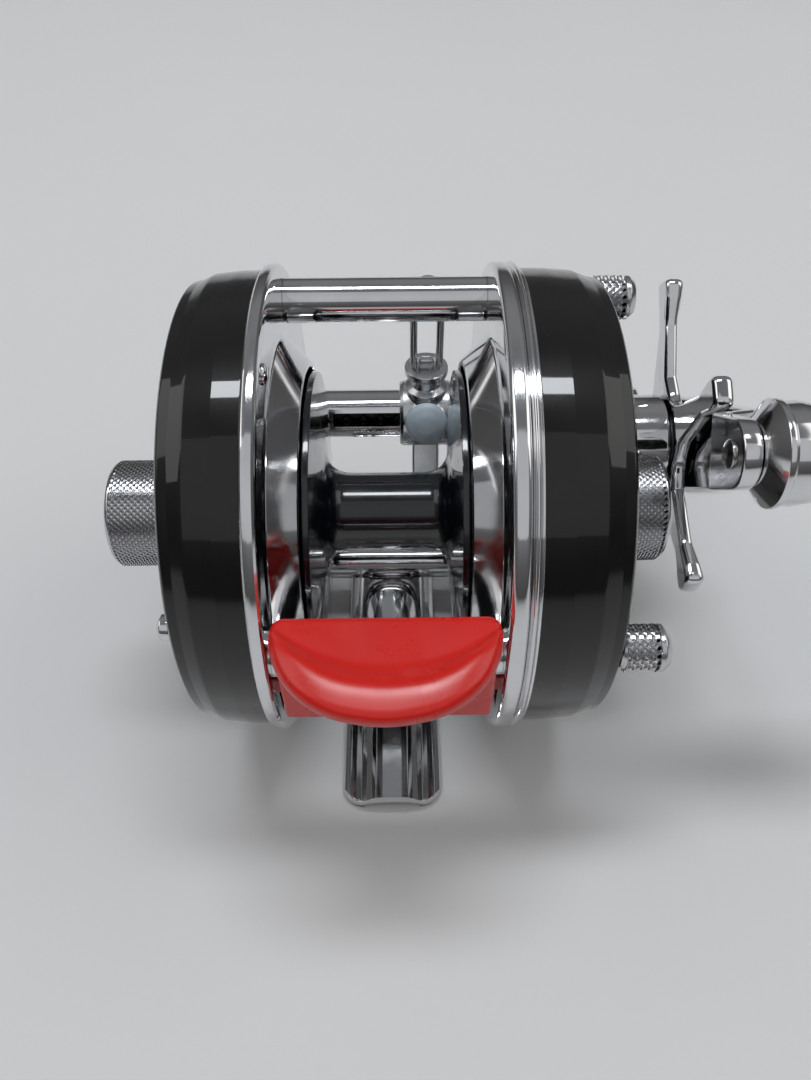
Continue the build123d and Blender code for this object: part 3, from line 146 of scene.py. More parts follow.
class Shape:
    """Vertices and faces of one piece, gathered from several simple runs."""

    def __init__(self):
        self.points = []
        self.faces = []

    def rings(self, rings, closed=True):
        """Joins rings of points, each ring closed on itself; a ring of one point is a pole."""
        start = len(self.points)
        first = []
        for ring_points in rings:
            first.append(len(self.points))
            self.points += [Vector(point) for point in ring_points]
        pairs = list(zip(range(len(rings)), range(1, len(rings))))
        if closed:
            pairs.append((len(rings) - 1, 0))
        for a, b in pairs:
            na, nb = len(rings[a]), len(rings[b])
            count = max(na, nb)
            for k in range(count):
                n = (k + 1) % count
                if na == 1 and nb == 1:
                    continue
                if na == 1:
                    self.faces.append((first[a], first[b] + n, first[b] + k))
                elif nb == 1:
                    self.faces.append((first[a] + k, first[a] + n, first[b]))
                else:
                    self.faces.append((first[a] + k, first[a] + n, first[b] + n, first[b] + k))
        return start

    def loft(self, rings):
        """Joins equal rings in a row, with a face on each end."""
        start = self.rings(rings, closed=False)
        count = len(rings[0])
        last = start + count * (len(rings) - 1)
        self.faces.append(tuple(start + k for k in range(count)))
        self.faces.append(tuple(last + count - 1 - k for k in range(count)))

    def lathe(self, profile, at=(0, 0), closed=True, around=128, to_world=None):
        """Turns an (x, radius) profile about the axis at; a third number is a corner's softness."""
        rings = []
        for x, radius in soften(profile, 0.15, closed):
            rings.append([(x, 0.0, 0.0)] if radius < 1e-6 else circle(x, (0, 0), radius, around))
        if to_world is None:
            to_world = Matrix.Translation((0, at[0], at[1]))
        self.rings([[to_world @ Vector(point) for point in points] for points in rings], closed)

    def slab(self, outline, x0, x1, soft=0.2, steps=3):
        """A plate of a (y, z) outline between x0 and x1 with rounded edges."""
        count = len(outline)
        inward = []
        for k in range(count):
            a, b, c = Vector(outline[k - 1]), Vector(outline[k]), Vector(outline[(k + 1) % count])
            along = (b - a).normalized() + (c - b).normalized()
            along = along.normalized() if along.length > 1e-6 else (c - a).normalized()
            inward.append(Vector((-along.y, along.x)))
        pairs = [(outline[k - 1], outline[k]) for k in range(count)]
        if sum(a[0] * b[1] - b[0] * a[1] for a, b in pairs) < 0:
            inward = [-n for n in inward]
        loops = [(x0 + across, inset) for across, inset in quarter_round(soft, steps)[::-1]]
        loops += [(x0 + x1 - x, inset) for x, inset in loops[::-1]]
        self.loft([
            [(x, y + way.x * inset, z + way.y * inset) for (y, z), way in zip(outline, inward)]
            for x, inset in loops
        ])

    def block(self, low, high, soft=0.2, to_world=None):
        """A rounded box."""
        y = (low[1], high[1])
        z = (low[2], high[2])
        outline = soften([(y[0], z[0]), (y[1], z[0]), (y[1], z[1]), (y[0], z[1])], soft * 1.5)
        start = len(self.points)
        self.slab(outline, low[0], high[0], soft)
        if to_world is not None:
            for k in range(start, len(self.points)):
                self.points[k] = to_world @ self.points[k]

    def rod(self, path, radius, around):
        """A round rod along a path of points."""
        turns = [2 * math.pi * n / around for n in range(around)]
        rings = []
        up = Vector((0, 1, 0.01)).normalized()
        for k, point in enumerate(path):
            here = Vector(point)
            before = Vector(path[max(k - 1, 0)])
            after = Vector(path[min(k + 1, len(path) - 1)])
            way = (after - before).normalized()
            side = way.cross(up).normalized()
            other = side.cross(way)
            rings.append([here + radius * (side * math.cos(t) + other * math.sin(t)) for t in turns])
        self.loft(rings)

    def knurl(self, at, x0, x1, radius, depth, around, flat):
        """Diamond knurl of two crossing sets of grooves, in the band x0 to x1; flat is a diamond's top."""
        pitch = 2 * math.pi * radius / around
        rows = max(2, round((x1 - x0) / (pitch / 2)))
        rows -= rows % 2
        step = (x1 - x0) / rows

        def point(i, j, height):
            turn_by = math.pi * i / around
            r = radius - depth + height
            return Vector((x0 + step * j, at[0] + r * math.cos(turn_by), at[1] + r * math.sin(turn_by)))

        index = {}
        for j in range(rows + 1):
            for i in range(2 * around):
                if (i + j) % 2 == 0:
                    index[(i, j)] = len(self.points)
                    self.points.append(point(i, j, 0.0))
        wrap = 2 * around
        for j in range(rows + 1):
            for i in range(2 * around):
                if (i + j) % 2 == 0:
                    continue
                corners = [(i - 1, j), (i, j + 1), (i + 1, j), (i, j - 1)]
                inner = []
                outer = []
                for ci, cj in corners:
                    if not 0 <= cj <= rows:
                        continue
                    outer.append(index[(ci % wrap, cj)])
                    inner.append(len(self.points))
                    self.points.append(point(i + (ci - i) * flat, j + (cj - j) * flat, depth))
                count = len(outer)
                closed = count == 4
                for k in range(count if closed else count - 1):
                    n = (k + 1) % count
                    self.faces.append((outer[k], outer[n], inner[n], inner[k]))
                if not closed and j == 0:
                    # open towards x0: corners run left, up, right
                    self.faces.append((outer[0], inner[0], inner[2], outer[2]))
                if not closed and j == rows:
                    self.faces.append((outer[1], inner[1], inner[0], outer[0]))
                self.faces.append(tuple(inner))


def add_object(name, data):
    """A new object in the scene."""
    new = bpy.data.objects.new(name, data)
    bpy.context.scene.collection.objects.link(new)
    return new


def shade(piece, sharp, weighted=True):
    """Edges over the angle sharp stay sharp; the rest shade by their larger faces."""
    piece.data.set_sharp_from_angle(angle=math.radians(sharp))
    if weighted:
        modifier = piece.modifiers.new("WeightedNormal", "WEIGHTED_NORMAL")
        modifier.keep_sharp = True


def finish_piece(node_name, finish, shape, body, material, sharp=32.0, knurled=False):
    """Turns a shape into an object that rides on a body, wears a material and replaces a CAD node."""
    name = node_name + "_" + finish
    mesh = bpy.data.meshes.new(name)
    mesh.from_pydata([point * MM for point in shape.points], [], shape.faces)
    bm = bmesh.new()
    bm.from_mesh(mesh)
    if knurled:
        bmesh.ops.remove_doubles(bm, verts=bm.verts, dist=0.002 * MM)
    bmesh.ops.dissolve_degenerate(bm, edges=bm.edges, dist=1e-8)
    bmesh.ops.recalc_face_normals(bm, faces=bm.faces)
    bm.to_mesh(mesh)
    bm.free()
    mesh.validate()
    mesh.polygons.foreach_set("use_smooth", [True] * len(mesh.polygons))
    piece = add_object(name, mesh)
    shade(piece, sharp, not knurled)
    piece.data.materials.append(material)
    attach(piece, body)
    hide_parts(node_name)
    return piece


def turned_piece(
    node_name, finish, profile, places, body, material, closed=True, around=128, sharp=32.0,
):
    """A piece turned from one profile about each of its places."""
    shape = Shape()
    for at in places:
        shape.lathe(profile, at, closed, around)
    finish_piece(node_name, finish, shape, body, material, sharp)


def cut(piece, low, high):
    """Cuts a box out of a piece's mesh."""
    cutter_shape = bmesh.new()
    size = Vector([(b - a) * MM for a, b in zip(low, high)])
    middle = Vector([(a + b) / 2 * MM for a, b in zip(low, high)])
    bmesh.ops.create_cube(cutter_shape, size=1.0, matrix=Matrix.LocRotScale(middle, None, size))
    cutter_mesh = bpy.data.meshes.new("cutter")
    cutter_shape.to_mesh(cutter_mesh)
    cutter_shape.free()
    cutter = add_object("cutter", cutter_mesh)
    modifier = piece.modifiers.new("Cut", "BOOLEAN")
    modifier.object = cutter
    modifier.operation = "DIFFERENCE"
    modifier.solver = "EXACT"
    piece.modifiers.remove(piece.modifiers["WeightedNormal"])
    bpy.context.view_layer.update()
    done = bpy.data.meshes.new_from_object(piece.evaluated_get(bpy.context.evaluated_depsgraph_get()))
    piece.modifiers.clear()
    old = piece.data
    piece.data = done
    bpy.data.meshes.remove(old)
    bpy.data.objects.remove(cutter)
    bpy.data.meshes.remove(cutter_mesh)
    shade(piece, 32.0)


# ---- materials
def material(name, color, roughness, metallic=0.0, coat=0.0, coat_roughness=0.05, specular=0.5):
    mat = bpy.data.materials.new(name)
    mat.use_nodes = True
    settings = {
        "Base Color": (*color, 1.0), "Metallic": metallic, "Roughness": roughness, "Coat Weight": coat,
        "Coat Roughness": coat_roughness, "Specular IOR Level": specular,
    }
    for socket, value in settings.items():
        shader_of(mat).inputs[socket].default_value = value
    return mat


def shader_of(mat):
    return mat.node_tree.nodes["Principled BSDF"]


def node(mat, kind, **values):
    """A new node of a material or world, with its sockets or settings filled in."""
    new = mat.node_tree.nodes.new(kind)
    for key, value in values.items():
        if key in new.inputs:
            new.inputs[key].default_value = value
        else:
            setattr(new, key, value)
    return new


def link(mat, source, target):
    mat.node_tree.links.new(source, target)


def place_node(mat, stretch):
    """Object coordinates, stretched so that a pattern runs along a chosen axis."""
    where = node(mat, "ShaderNodeTexCoord")
    scale = node(mat, "ShaderNodeMapping")
    scale.inputs["Scale"].default_value = stretch
    link(mat, where.outputs["Object"], scale.inputs["Vector"])
    return scale.outputs["Vector"]


def noise(mat, scale, detail=4.0, stretch=(1.0, 1.0, 1.0), rough=0.55):
    texture = node(mat, "ShaderNodeTexNoise", Scale=scale, Detail=detail, Roughness=rough)
    link(mat, place_node(mat, stretch), texture.inputs["Vector"])
    return texture.outputs["Fac"]


def ramp(mat, source, low, high, to_low, to_high):
    limits = {"From Min": low, "From Max": high, "To Min": to_low, "To Max": to_high}
    reach = node(mat, "ShaderNodeMapRange", **limits)
    link(mat, source, reach.inputs["Value"])
    return reach.outputs["Result"]


def mix_color(mat, factor, first, second):
    mixer = node(mat, "ShaderNodeMix", data_type="RGBA")
    mixer.inputs[6].default_value = (*first, 1.0)
    mixer.inputs[7].default_value = (*second, 1.0)
    link(mat, factor, mixer.inputs[0])
    return mixer.outputs[2]


def bump(mat, height, strength, distance):
    bumper = node(mat, "ShaderNodeBump", Strength=strength, Distance=distance)
    link(mat, height, bumper.inputs["Height"])
    link(mat, bumper.outputs["Normal"], shader_of(mat).inputs["Normal"])


def wear(mat, color, dull, scale, share=0.5):
    """Slow change of colour over the surface."""
    factor = ramp(mat, noise(mat, scale, 3.0), 0.35, 0.7, 0.0, share)
    link(mat, mix_color(mat, factor, color, dull), shader_of(mat).inputs["Base Color"])


def patches(mat, scale, detail, low, to_low, to_high, socket="Roughness", rough=0.55):
    """Patches between two values of a shader's socket, its roughness as a rule."""
    spread = ramp(mat, noise(mat, scale, detail, rough=rough), low, 0.75, to_low, to_high)
    link(mat, spread, shader_of(mat).inputs[socket])


def chrome(name, color=(0.74, 0.74, 0.75), low=0.05, high=0.14, turned=0.0):
    """Polished metal plating with faint smears, and slow waves or, where turned, fine lines."""
    mat = material(name, color, metallic=1.0, roughness=low)
    wear(mat, color, tuple(c * 0.86 for c in color), 220.0)
    patches(mat, 160.0, 5.0, 0.35, low, high, rough=0.62)
    if turned:
        bump(mat, noise(mat, 900.0, 2.0, stretch=(1.0, 0.0, 0.0)), turned, 0.00002)
    else:
        bump(mat, noise(mat, 420.0, 3.0), 0.02, 0.0001)
    return mat


def turned_lines(mat, along_x, strength, distance=0.00003):
    """Fine rings round the X axis, as a lathe leaves."""
    bump(mat, noise(mat, along_x, 3.0, stretch=(1.0, 0.0, 0.0)), strength, distance)


plated = chrome("plated")
plated_lathe = chrome("plated_turned", turned=0.08)
plated_knurl = chrome("plated_knurl", color=(0.62, 0.62, 0.63), low=0.16, high=0.3)
plated_sat = chrome("plated_satin", color=(0.6, 0.61, 0.62), low=0.22, high=0.34, turned=0.15)
wire_steel = chrome("wire_steel", color=(0.5, 0.5, 0.5), low=0.14, high=0.24)


def black_plate_material():
    base = (0.0026, 0.0021, 0.0021)
    mat = material("black_plate", base, roughness=0.34, coat=0.85, specular=0.12)
    wear(mat, base, (0.0062, 0.0048, 0.0044), 90.0)
    patches(mat, 140.0, 5.0, 0.3, 0.24, 0.4)
    patches(mat, 170.0, 5.0, 0.35, 0.03, 0.09, "Coat Roughness")
    turned_lines(mat, 1400.0, 0.06)
    return mat


def black_spool_material():
    base = (0.0014, 0.0026, 0.0048)
    mat = material("black_spool", base, roughness=0.26, coat=0.9, coat_roughness=0.06, specular=0.3)
    wear(mat, base, (0.0052, 0.0062, 0.0086), 260.0)
    patches(mat, 240.0, 4.0, 0.3, 0.16, 0.3)
    turned_lines(mat, 2600.0, 0.2, 0.00006)
    return mat


def red_material():
    base = (0.64, 0.0085, 0.003)
    mat = material("red_plastic", base, roughness=0.3, coat=0.16, coat_roughness=0.2, specular=0.5)
    wear(mat, base, (0.55, 0.007, 0.003), 120.0)
    patches(mat, 200.0, 5.0, 0.3, 0.24, 0.36)
    bump(mat, noise(mat, 1500.0, 3.0), 0.05, 0.00004)
    return mat


def grey_cast_material():
    base = (0.60, 0.69, 0.76)
    mat = material("grey_cast", base, roughness=0.4)
    wear(mat, base, (0.47, 0.55, 0.61), 500.0, 0.8)
    patches(mat, 700.0, 4.0, 0.3, 0.38, 0.56)
    bump(mat, noise(mat, 1800.0, 4.0), 0.25, 0.00006)
    return mat


def inner_metal(name, color, rough):
    """Machined metal of the hidden works."""
    mat = material(name, color, metallic=1.0, roughness=rough)
    wear(mat, color, tuple(c * 0.7 for c in color), 300.0)
    patches(mat, 500.0, 4.0, 0.3, rough * 0.8, rough * 1.4)
    bump(mat, noise(mat, 1500.0, 2.0), 0.08, 0.00003)
    return mat


black_plate = black_plate_material()
black_spool = black_spool_material()
red_plastic = red_material()
grey_cast = grey_cast_material()
steel = inner_metal("machined_steel", (0.5, 0.5, 0.51), 0.3)
brass = inner_metal("machined_brass", (0.70, 0.47, 0.17), 0.3)
fibre = material("fibre", (0.05, 0.035, 0.03), roughness=0.8)
wear(fibre, (0.05, 0.035, 0.03), (0.09, 0.07, 0.06), 600.0, 1.0)
bump(fibre, noise(fibre, 2200.0, 4.0), 0.3, 0.00005)

inner_finish = {
    "chrome": plated, "black_plate": black_plate, "black_spool": black_spool, "steel": steel,
    "brass": brass, "grey_cap": grey_cast, "fibre": fibre, "red_plastic": red_plastic,
}
for entry in frame["record"]["subparts"]:
    part_object = frame["nodes"][entry["node"]]
    part_object.data.materials.clear()
    part_object.data.materials.append(inner_finish[entry["material_slot"]])
# the worm shows through the slot of its tube; its steel is painted near black, painted shade that makes the
# slot read dark
frame["nodes"]["worm_shaft"].data.materials[0] = inner_metal("shade_dark_steel", (0.05, 0.047, 0.043), 0.5)


# ---- frame plates and rings
RING_STEPS = 192
cup_radius, cup_depth, lip_radius, plate_wall, bead_depth = 20.5, 2.9, 16.8, 1.1, 1.6
plate_out = half_gap + plate_wall


def frame_plate(side, node_name):
    """Plated frame plate: rolled bead and flat web round the ring, dished cup round the spool."""
    outer = max(abs(v) for v in span(node_name))
    lip_x = half_gap - cup_depth
    root = ring_radius - bead_depth
    bead_round = 0.42 * (outer - half_gap)
    profile = [
        (half_gap, cup_radius, spool_axis, 0.9), (half_gap, root - 0.15, ring, 0.15),
        (half_gap - 0.02, root, ring, 0.1),
        (half_gap, ring_radius, ring, bead_round), (outer, ring_radius, ring, bead_round),
        (outer, root, ring, 0.5), (plate_out, root, ring, 0.2),
        (plate_out, cup_radius + 0.4, spool_axis, 0.9),
        (lip_x + 1.375, lip_radius, spool_axis, 0.2), (lip_x, lip_radius, spool_axis, 0.32),
        (lip_x, lip_radius + 0.62, spool_axis, 0.5),
    ]
    profile = [(side * x, radius, centre, own) for x, radius, centre, own in profile]
    rings = []
    for x, radius in soften([(x, radius, own) for x, radius, _, own in profile], 0.2):
        nearest = min(profile, key=lambda p: (p[0] - x) ** 2 + (p[1] - radius) ** 2)
        rings.append(circle(x, nearest[2], radius, RING_STEPS))
    shape = Shape()
    shape.rings(rings)
    piece = finish_piece(node_name, "plated", shape, "frame", plated, sharp=40.0)
    # slot that the thumb bar's lug runs in
    lug = span("thumb_bar", 1)[1]
    top = span("thumb_bar", 2)[0] + 2.5
    inner, far = sorted((side * (half_gap - 1.5), side * (half_gap + 2.0)))
    cut(piece, (inner, lug - 1.26, top - 6.06), (far, lug + 0.06, top + 0.06))


frame_plate(1, "frame_plate_right")
frame_plate(-1, "frame_plate_left")

rim_in, rim_end = span("rim_ring")
RIM_BORE = 24.4
turned_piece("rim_ring", "plated", [
    (rim_in, RIM_BORE), (rim_in, ring_radius - 0.45, 0.1), (rim_in + 0.12, ring_radius - 0.3, 0.15),
    (rim_in + 0.3, ring_radius, 0.3), (rim_end - 0.55, ring_radius, 0.3),
    (rim_end - 0.3, ring_radius - 0.6, 0.1), (rim_end - 0.28, ring_radius - 0.42, 0.08),
    (rim_end, ring_radius - 0.42, 0.12), (rim_end, RIM_BORE),
], [ring], "frame", plated, around=RING_STEPS)


# ---- side plates
NECK_RADIUS = 4.2
PLATE_BORE = 24.6


def side_plate(x_open, x_closed, neck):
    """Pan round the ring, with a turned groove, a recessed disc and a neck round the spool's axis."""
    way = math.copysign(1, x_closed)
    step = (x_closed - x_open) / 3
    profile = [
        (x_open, PLATE_BORE), (x_open, 26.3, 0.12), (x_open + step, 26.25, 1.2),
        (x_open + 2 * step, 26.0, 1.2), (x_closed - way * 1.3, 25.4, 0.5), (x_closed - way * 0.3, 25.2, 0.4),
        (x_closed, 24.7, 0.3), (x_closed, 22.9, 0.1), (x_closed - way * 0.14, 22.7, 0.1),
        (x_closed - way * 0.14, 9.4, 0.1), (x_closed, 9.2, 0.1), (x_closed, NECK_RADIUS, 0.2),
    ] + neck
    inside = neck[-1][0]
    profile.append((inside, PLATE_BORE, 1.0))
    shape = Shape()
    shape.rings([
        circle(x, ring if radius > 12 else spool_axis, radius, RING_STEPS)
        for x, radius in soften(profile, 0.1)
    ])
    return shape


def left_plate():
    low = span("left_side_plate")[0]
    neck = [(low, NECK_RADIUS, 0.3), (low, 2.0), (left_face + 1.5, 2.0)]
    shape = side_plate(span("frame_plate_left")[0], left_face, neck)
    piece = finish_piece("left_side_plate", "black", shape, "frame", black_plate, sharp=24.0)
    # slot that the click button runs in
    y, z = middle_of("click_button")
    cut(piece, (left_face - 1, y - 0.76, z - 3.36), (left_face + 2.5, y + 0.76, z + 0.76))


def right_plate():
    low, high = span("right_side_plate")
    inside = right_face - 1.5
    neck = [(high, NECK_RADIUS, 0.3), (high, 2.62), (inside, 2.62)]
    shape = side_plate(rim_end, right_face, neck)
    # posts for the thumb screws
    for place in screw_places:
        shape.lathe([(low, 1.1), (low, 2.1, 0.2), (inside, 2.1), (inside, 1.1)], place, around=32)
    finish_piece("right_side_plate", "black", shape, "frame", black_plate, sharp=24.0)


left_plate()
right_plate()


# ---- spool
# arbor, two flanges that thin towards rolled rims, and short hubs
hub_low, hub_high = span("spool")
flange = radius_of("spool")
FLANGE_RIM = 8.6
turned_piece("spool", "black", [
    (-7.0, 4.5, 3.1), (7.0, 4.5, 3.1), (7.75, flange, 0.2), (FLANGE_RIM, flange, 0.3),
    (FLANGE_RIM, flange - 1.1, 0.2), (8.0, flange - 1.6, 0.3), (8.0, 3.0, 0.3), (hub_high, 3.0, 0.2),
    (hub_high, 1.52), (hub_low, 1.52), (hub_low, 3.0, 0.2), (-8.0, 3.0, 0.3), (-8.0, flange - 1.6, 0.3),
    (-FLANGE_RIM, flange - 1.1, 0.2), (-FLANGE_RIM, flange, 0.3), (-7.75, flange, 0.2),
], [spool_axis], "spool_unit", black_spool, around=RING_STEPS)


# ---- pillars, tube and line guide
pillar_radius = 2.5
turned_piece("pillars", "plated", [
    (-half_gap - 0.6, 0), (-half_gap - 0.6, 1.7), (-half_gap, 1.7), (-half_gap, pillar_radius, 0.08),
    (half_gap, pillar_radius, 0.08), (half_gap, 1.7), (half_gap + 0.6, 1.7), (half_gap + 0.6, 0),
], screw_places + [foot_pillar], "frame", plated_lathe, closed=False, around=96)

tube_radius, tube_wall = 3.3, 0.8
pawl_angle = 155.0


def tube_piece():
    """Guide tube with a straight slot towards the spool for the pawl, from -reach to reach."""
    end = span("level_wind_tube")[1]
    reach = 7.6
    half_slot = math.degrees(math.asin(0.95 / tube_radius))
    count = 96
    angles = [pawl_angle + half_slot + (360 - 2 * half_slot) * k / count for k in range(count + 1)]
    slot_steps = [pawl_angle - half_slot + 2 * half_slot * k / 6 for k in range(1, 6)]
    stations = [-end, -end + 0.15, -reach, reach, end - 0.15, end]
    turns = angles + slot_steps
    total = len(turns)
    shape = Shape()
    grid = {}

    def face(*corners):
        shape.faces.append(tuple(grid[corner] for corner in corners))

    for level, radius in enumerate((tube_radius, tube_radius - tube_wall)):
        for i, x in enumerate(stations):
            r = radius - (0.1 if level == 0 and i in (0, len(stations) - 1) else 0.0)
            for k, angle in enumerate(turns):
                y, z = polar(wind_axis, r, angle)
                grid[(level, i, k)] = len(shape.points)
                shape.points.append(Vector((x, y, z)))
    for i in range(len(stations) - 1):
        for k in range(total):
            n = (k + 1) % total
            if i == 2 and k >= count:
                continue
            for level in (0, 1):
                face((level, i, k), (level, i, n), (level, i + 1, n), (level, i + 1, k))
    for i in (0, len(stations) - 1):
        for k in range(total):
            n = (k + 1) % total
            face((0, i, k), (0, i, n), (1, i, n), (1, i, k))
    for k in (0, count):
        face((0, 2, k), (0, 3, k), (1, 3, k), (1, 2, k))
    for i in (2, 3):
        for k in range(count, total):
            n = (k + 1) % total
            face((0, i, k), (0, i, n), (1, i, n), (1, i, k))
    finish_piece("level_wind_tube", "plated", shape, "frame", plated_lathe)


tube_piece()

bushes = Shape()
for side in (-1, 1):
    inside = side * (half_gap - 1.8 - 1.6)
    collar = side * (half_gap - 1.8)
    outside = side * (half_gap + 0.3)
    bore = tube_radius - tube_wall - 0.02
    bushes.lathe([
        (inside, 1.56), (inside, bore), (collar, bore), (collar, tube_radius + 0.25, 0.2),
        (outside, tube_radius + 0.25), (outside, 1.56),
    ], wind_axis, around=96)
finish_piece("tube_end_bushes", "satin", bushes, "frame", plated_sat)


def carriage_piece():
    """Sleeve on the tube with a post, a boss and a leg; the pawl's cap; the bent wire."""
    low, high = span("carriage")
    outer = tube_radius + 1.2
    base_z = wind_axis[1]
    shape = Shape()
    shape.lathe([
        (low, tube_radius + 0.06), (low, outer - 0.25, 0.2), (low + 0.5, outer, 0.3),
        (high - 0.5, outer, 0.3), (high, outer - 0.25, 0.2), (high, tube_radius + 0.06),
    ], wind_axis, around=96)
    # turned post: its profile runs along Z
    middle = Matrix.Translation((carriage_x, wind_axis[0], base_z))
    post = middle @ Matrix.Rotation(-math.pi / 2, 4, "Y")
    shape.lathe([
        (tube_radius + 0.3, 0), (tube_radius + 0.3, 2.9), (outer + 0.5, 2.9, 0.3), (outer + 1.0, 2.0, 0.25),
        (outer + 2.3, 2.0, 0.25), (outer + 2.8, 2.9, 0.2), (outer + 3.8, 2.9, 0.3), (outer + 3.8, 1.9, 0.1),
        (outer + 3.55, 1.7, 0.1), (outer + 3.55, 0),
    ], closed=False, around=64, to_world=post)
    # raised tab between the wires
    shape.block(
        (carriage_x - 1.0, wind_axis[0] - 0.55, base_z + outer + 3.4),
        (carriage_x + 1.0, wind_axis[0] + 0.55, base_z + outer + 5.0), 0.35,
    )
    # boss of the pawl
    toward = polar((0.0, 0.0), 1.0, pawl_angle)
    side = Vector((1, 0, 0))
    out = Vector((0, toward[0], toward[1]))
    boss = middle @ Matrix((out, side, out.cross(side))).transposed().to_4x4()
    seat = outer + 0.4
    shape.lathe([
        (tube_radius + 0.1, 1.6), (tube_radius + 0.1, 2.8), (seat, 2.8, 0.2), (seat, 1.6),
    ], around=64, to_world=boss)
    # leg under the sleeve
    leg_angle = 252
    leg = polar(wind_axis, 5.6, leg_angle)
    turn_leg = Matrix.Translation((carriage_x, *leg)) @ Matrix.Rotation(math.radians(leg_angle), 4, "X")
    shape.block((-1.9, -4.0, -1.3), (1.9, 4.0, 1.3), 0.4, to_world=turn_leg)
    finish_piece("carriage", "plated", shape, "line_guide", plated_sat)

    cap = Shape()
    cap.lathe([
        (seat, 0), (seat, 2.85, 0.15), (seat + 0.3, 2.85, 0.5), (seat + 0.85, 2.5, 0.9),
        (seat + 1.2, 1.3, 1.0), (seat + 1.3, 0),
    ], closed=False, around=96, to_world=boss)
    finish_piece("pawl_cap", "grey", cap, "line_guide", grey_cast, sharp=50.0)

    wire = Shape()
    half = 1.7
    bottom = base_z + outer + 2.3
    top = span("line_guide_wire", 2)[1] - 0.5
    bend = [(carriage_x - half, top - half)]
    for k in range(1, 16):
        turn_by = math.pi * (1 - k / 16)
        bend.append((carriage_x + half * math.cos(turn_by), top - half + half * math.sin(turn_by)))
    bend.append((carriage_x + half, top - half))
    path = [(carriage_x - half, bottom)] + bend + [(carriage_x + half, bottom)]
    wire.rod([(x, wind_axis[0], z) for x, z in path], 0.5, around=24)
    finish_piece("line_guide_wire", "bent", wire, "line_guide", wire_steel)


carriage_piece()


# ---- knurled caps and thumb screws
KNURL_DEPTH = 0.3


def spool_cap(name, body):
    """Knurled cap with a rolled edge at its base and a rim round its hollowed end."""
    low, high = span(name)
    base, tip = (high, low) if high < 0 else (low, high)
    way = math.copysign(1, tip)
    radius = 6.25
    bore = NECK_RADIUS + 0.04
    shape = Shape()
    shape.lathe([
        (base + way * 0.55, radius - KNURL_DEPTH), (base + way * 0.2, radius - 0.55, 0.2),
        (base, radius - 0.8, 0.15), (base, bore), (tip - way * 2.9, bore), (tip - way * 2.9, 0),
    ], spool_axis, closed=False, around=112)
    first, last = sorted((base + way * 0.55, tip - way * 0.75))
    shape.knurl(spool_axis, first, last, radius, KNURL_DEPTH, 56, flat=0.32)
    shape.lathe([
        (tip - way * 0.75, radius - KNURL_DEPTH), (tip - way * 0.62, radius - 0.12, 0.1),
        (tip - way * 0.3, radius - 0.3, 0.2), (tip, radius - 0.95, 0.2), (tip, radius - 1.9, 0.15),
        (tip - way * 0.45, radius - 2.5, 0.3), (tip - way * 0.55, 0),
    ], spool_axis, closed=False, around=112)
    finish_piece(name, "knurled", shape, body, plated_knurl, sharp=12.0, knurled=True)


spool_cap("left_spool_cap", "left_cap")
spool_cap("right_spool_cap", "right_cap")


def thumb_screw(label, at):
    """Knurled head with a smooth rounded end, and its plain stem."""
    name = "thumb_screw_" + label
    stem, tip = span(name)
    radius = 2.45
    shape = Shape()
    shape.lathe([
        (stem, 0), (stem, 1.0, 0.2), (right_face, 1.0), (right_face, radius - 0.55, 0.1),
        (right_face + 0.25, radius - 0.4, 0.1), (right_face + 0.5, radius - KNURL_DEPTH),
    ], at, closed=False, around=36)
    band = tip - 1.35
    shape.knurl(at, right_face + 0.5, band, radius, KNURL_DEPTH, 18, flat=0.3)
    shape.lathe([
        (band, radius - KNURL_DEPTH), (band + 0.12, radius - 0.02, 0.1), (tip - 0.75, radius, 0.3),
        (tip - 0.1, radius - 0.55, 0.35), (tip, radius - 1.25, 0.3), (tip, 0),
    ], at, closed=False, around=36)
    finish_piece(name, "knurled", shape, label + "_screw", plated_knurl, sharp=14.0, knurled=True)


for label, at in zip(("top", "rear", "bottom"), screw_places):
    thumb_screw(label, at)


# ---- bushing, star and crank
bush_in, bush_end = span("shaft_bushing")
turned_piece("shaft_bushing", "plated", [
    (bush_in, 3.4), (bush_in, 4.4), (right_face, 4.4), (right_face, 6.3, 0.1), (bush_end, 6.3, 0.7),
    (bush_end, 4.7, 0.15), (bush_end - 1.6, 4.7), (bush_end - 1.6, 3.4),
], [drive_axis], "frame", plated_lathe)


def turned_outline(points, at, angle):
    """A (y, z) outline turned by angle and set at a place."""
    c, s = math.cos(math.radians(angle)), math.sin(math.radians(angle))
    return [(at[0] + a * c - b * s, at[1] + a * s + b * c) for a, b in points]


star_in, star_out = span("star_drag")
star_in += 0.15
star_angle = 48.5


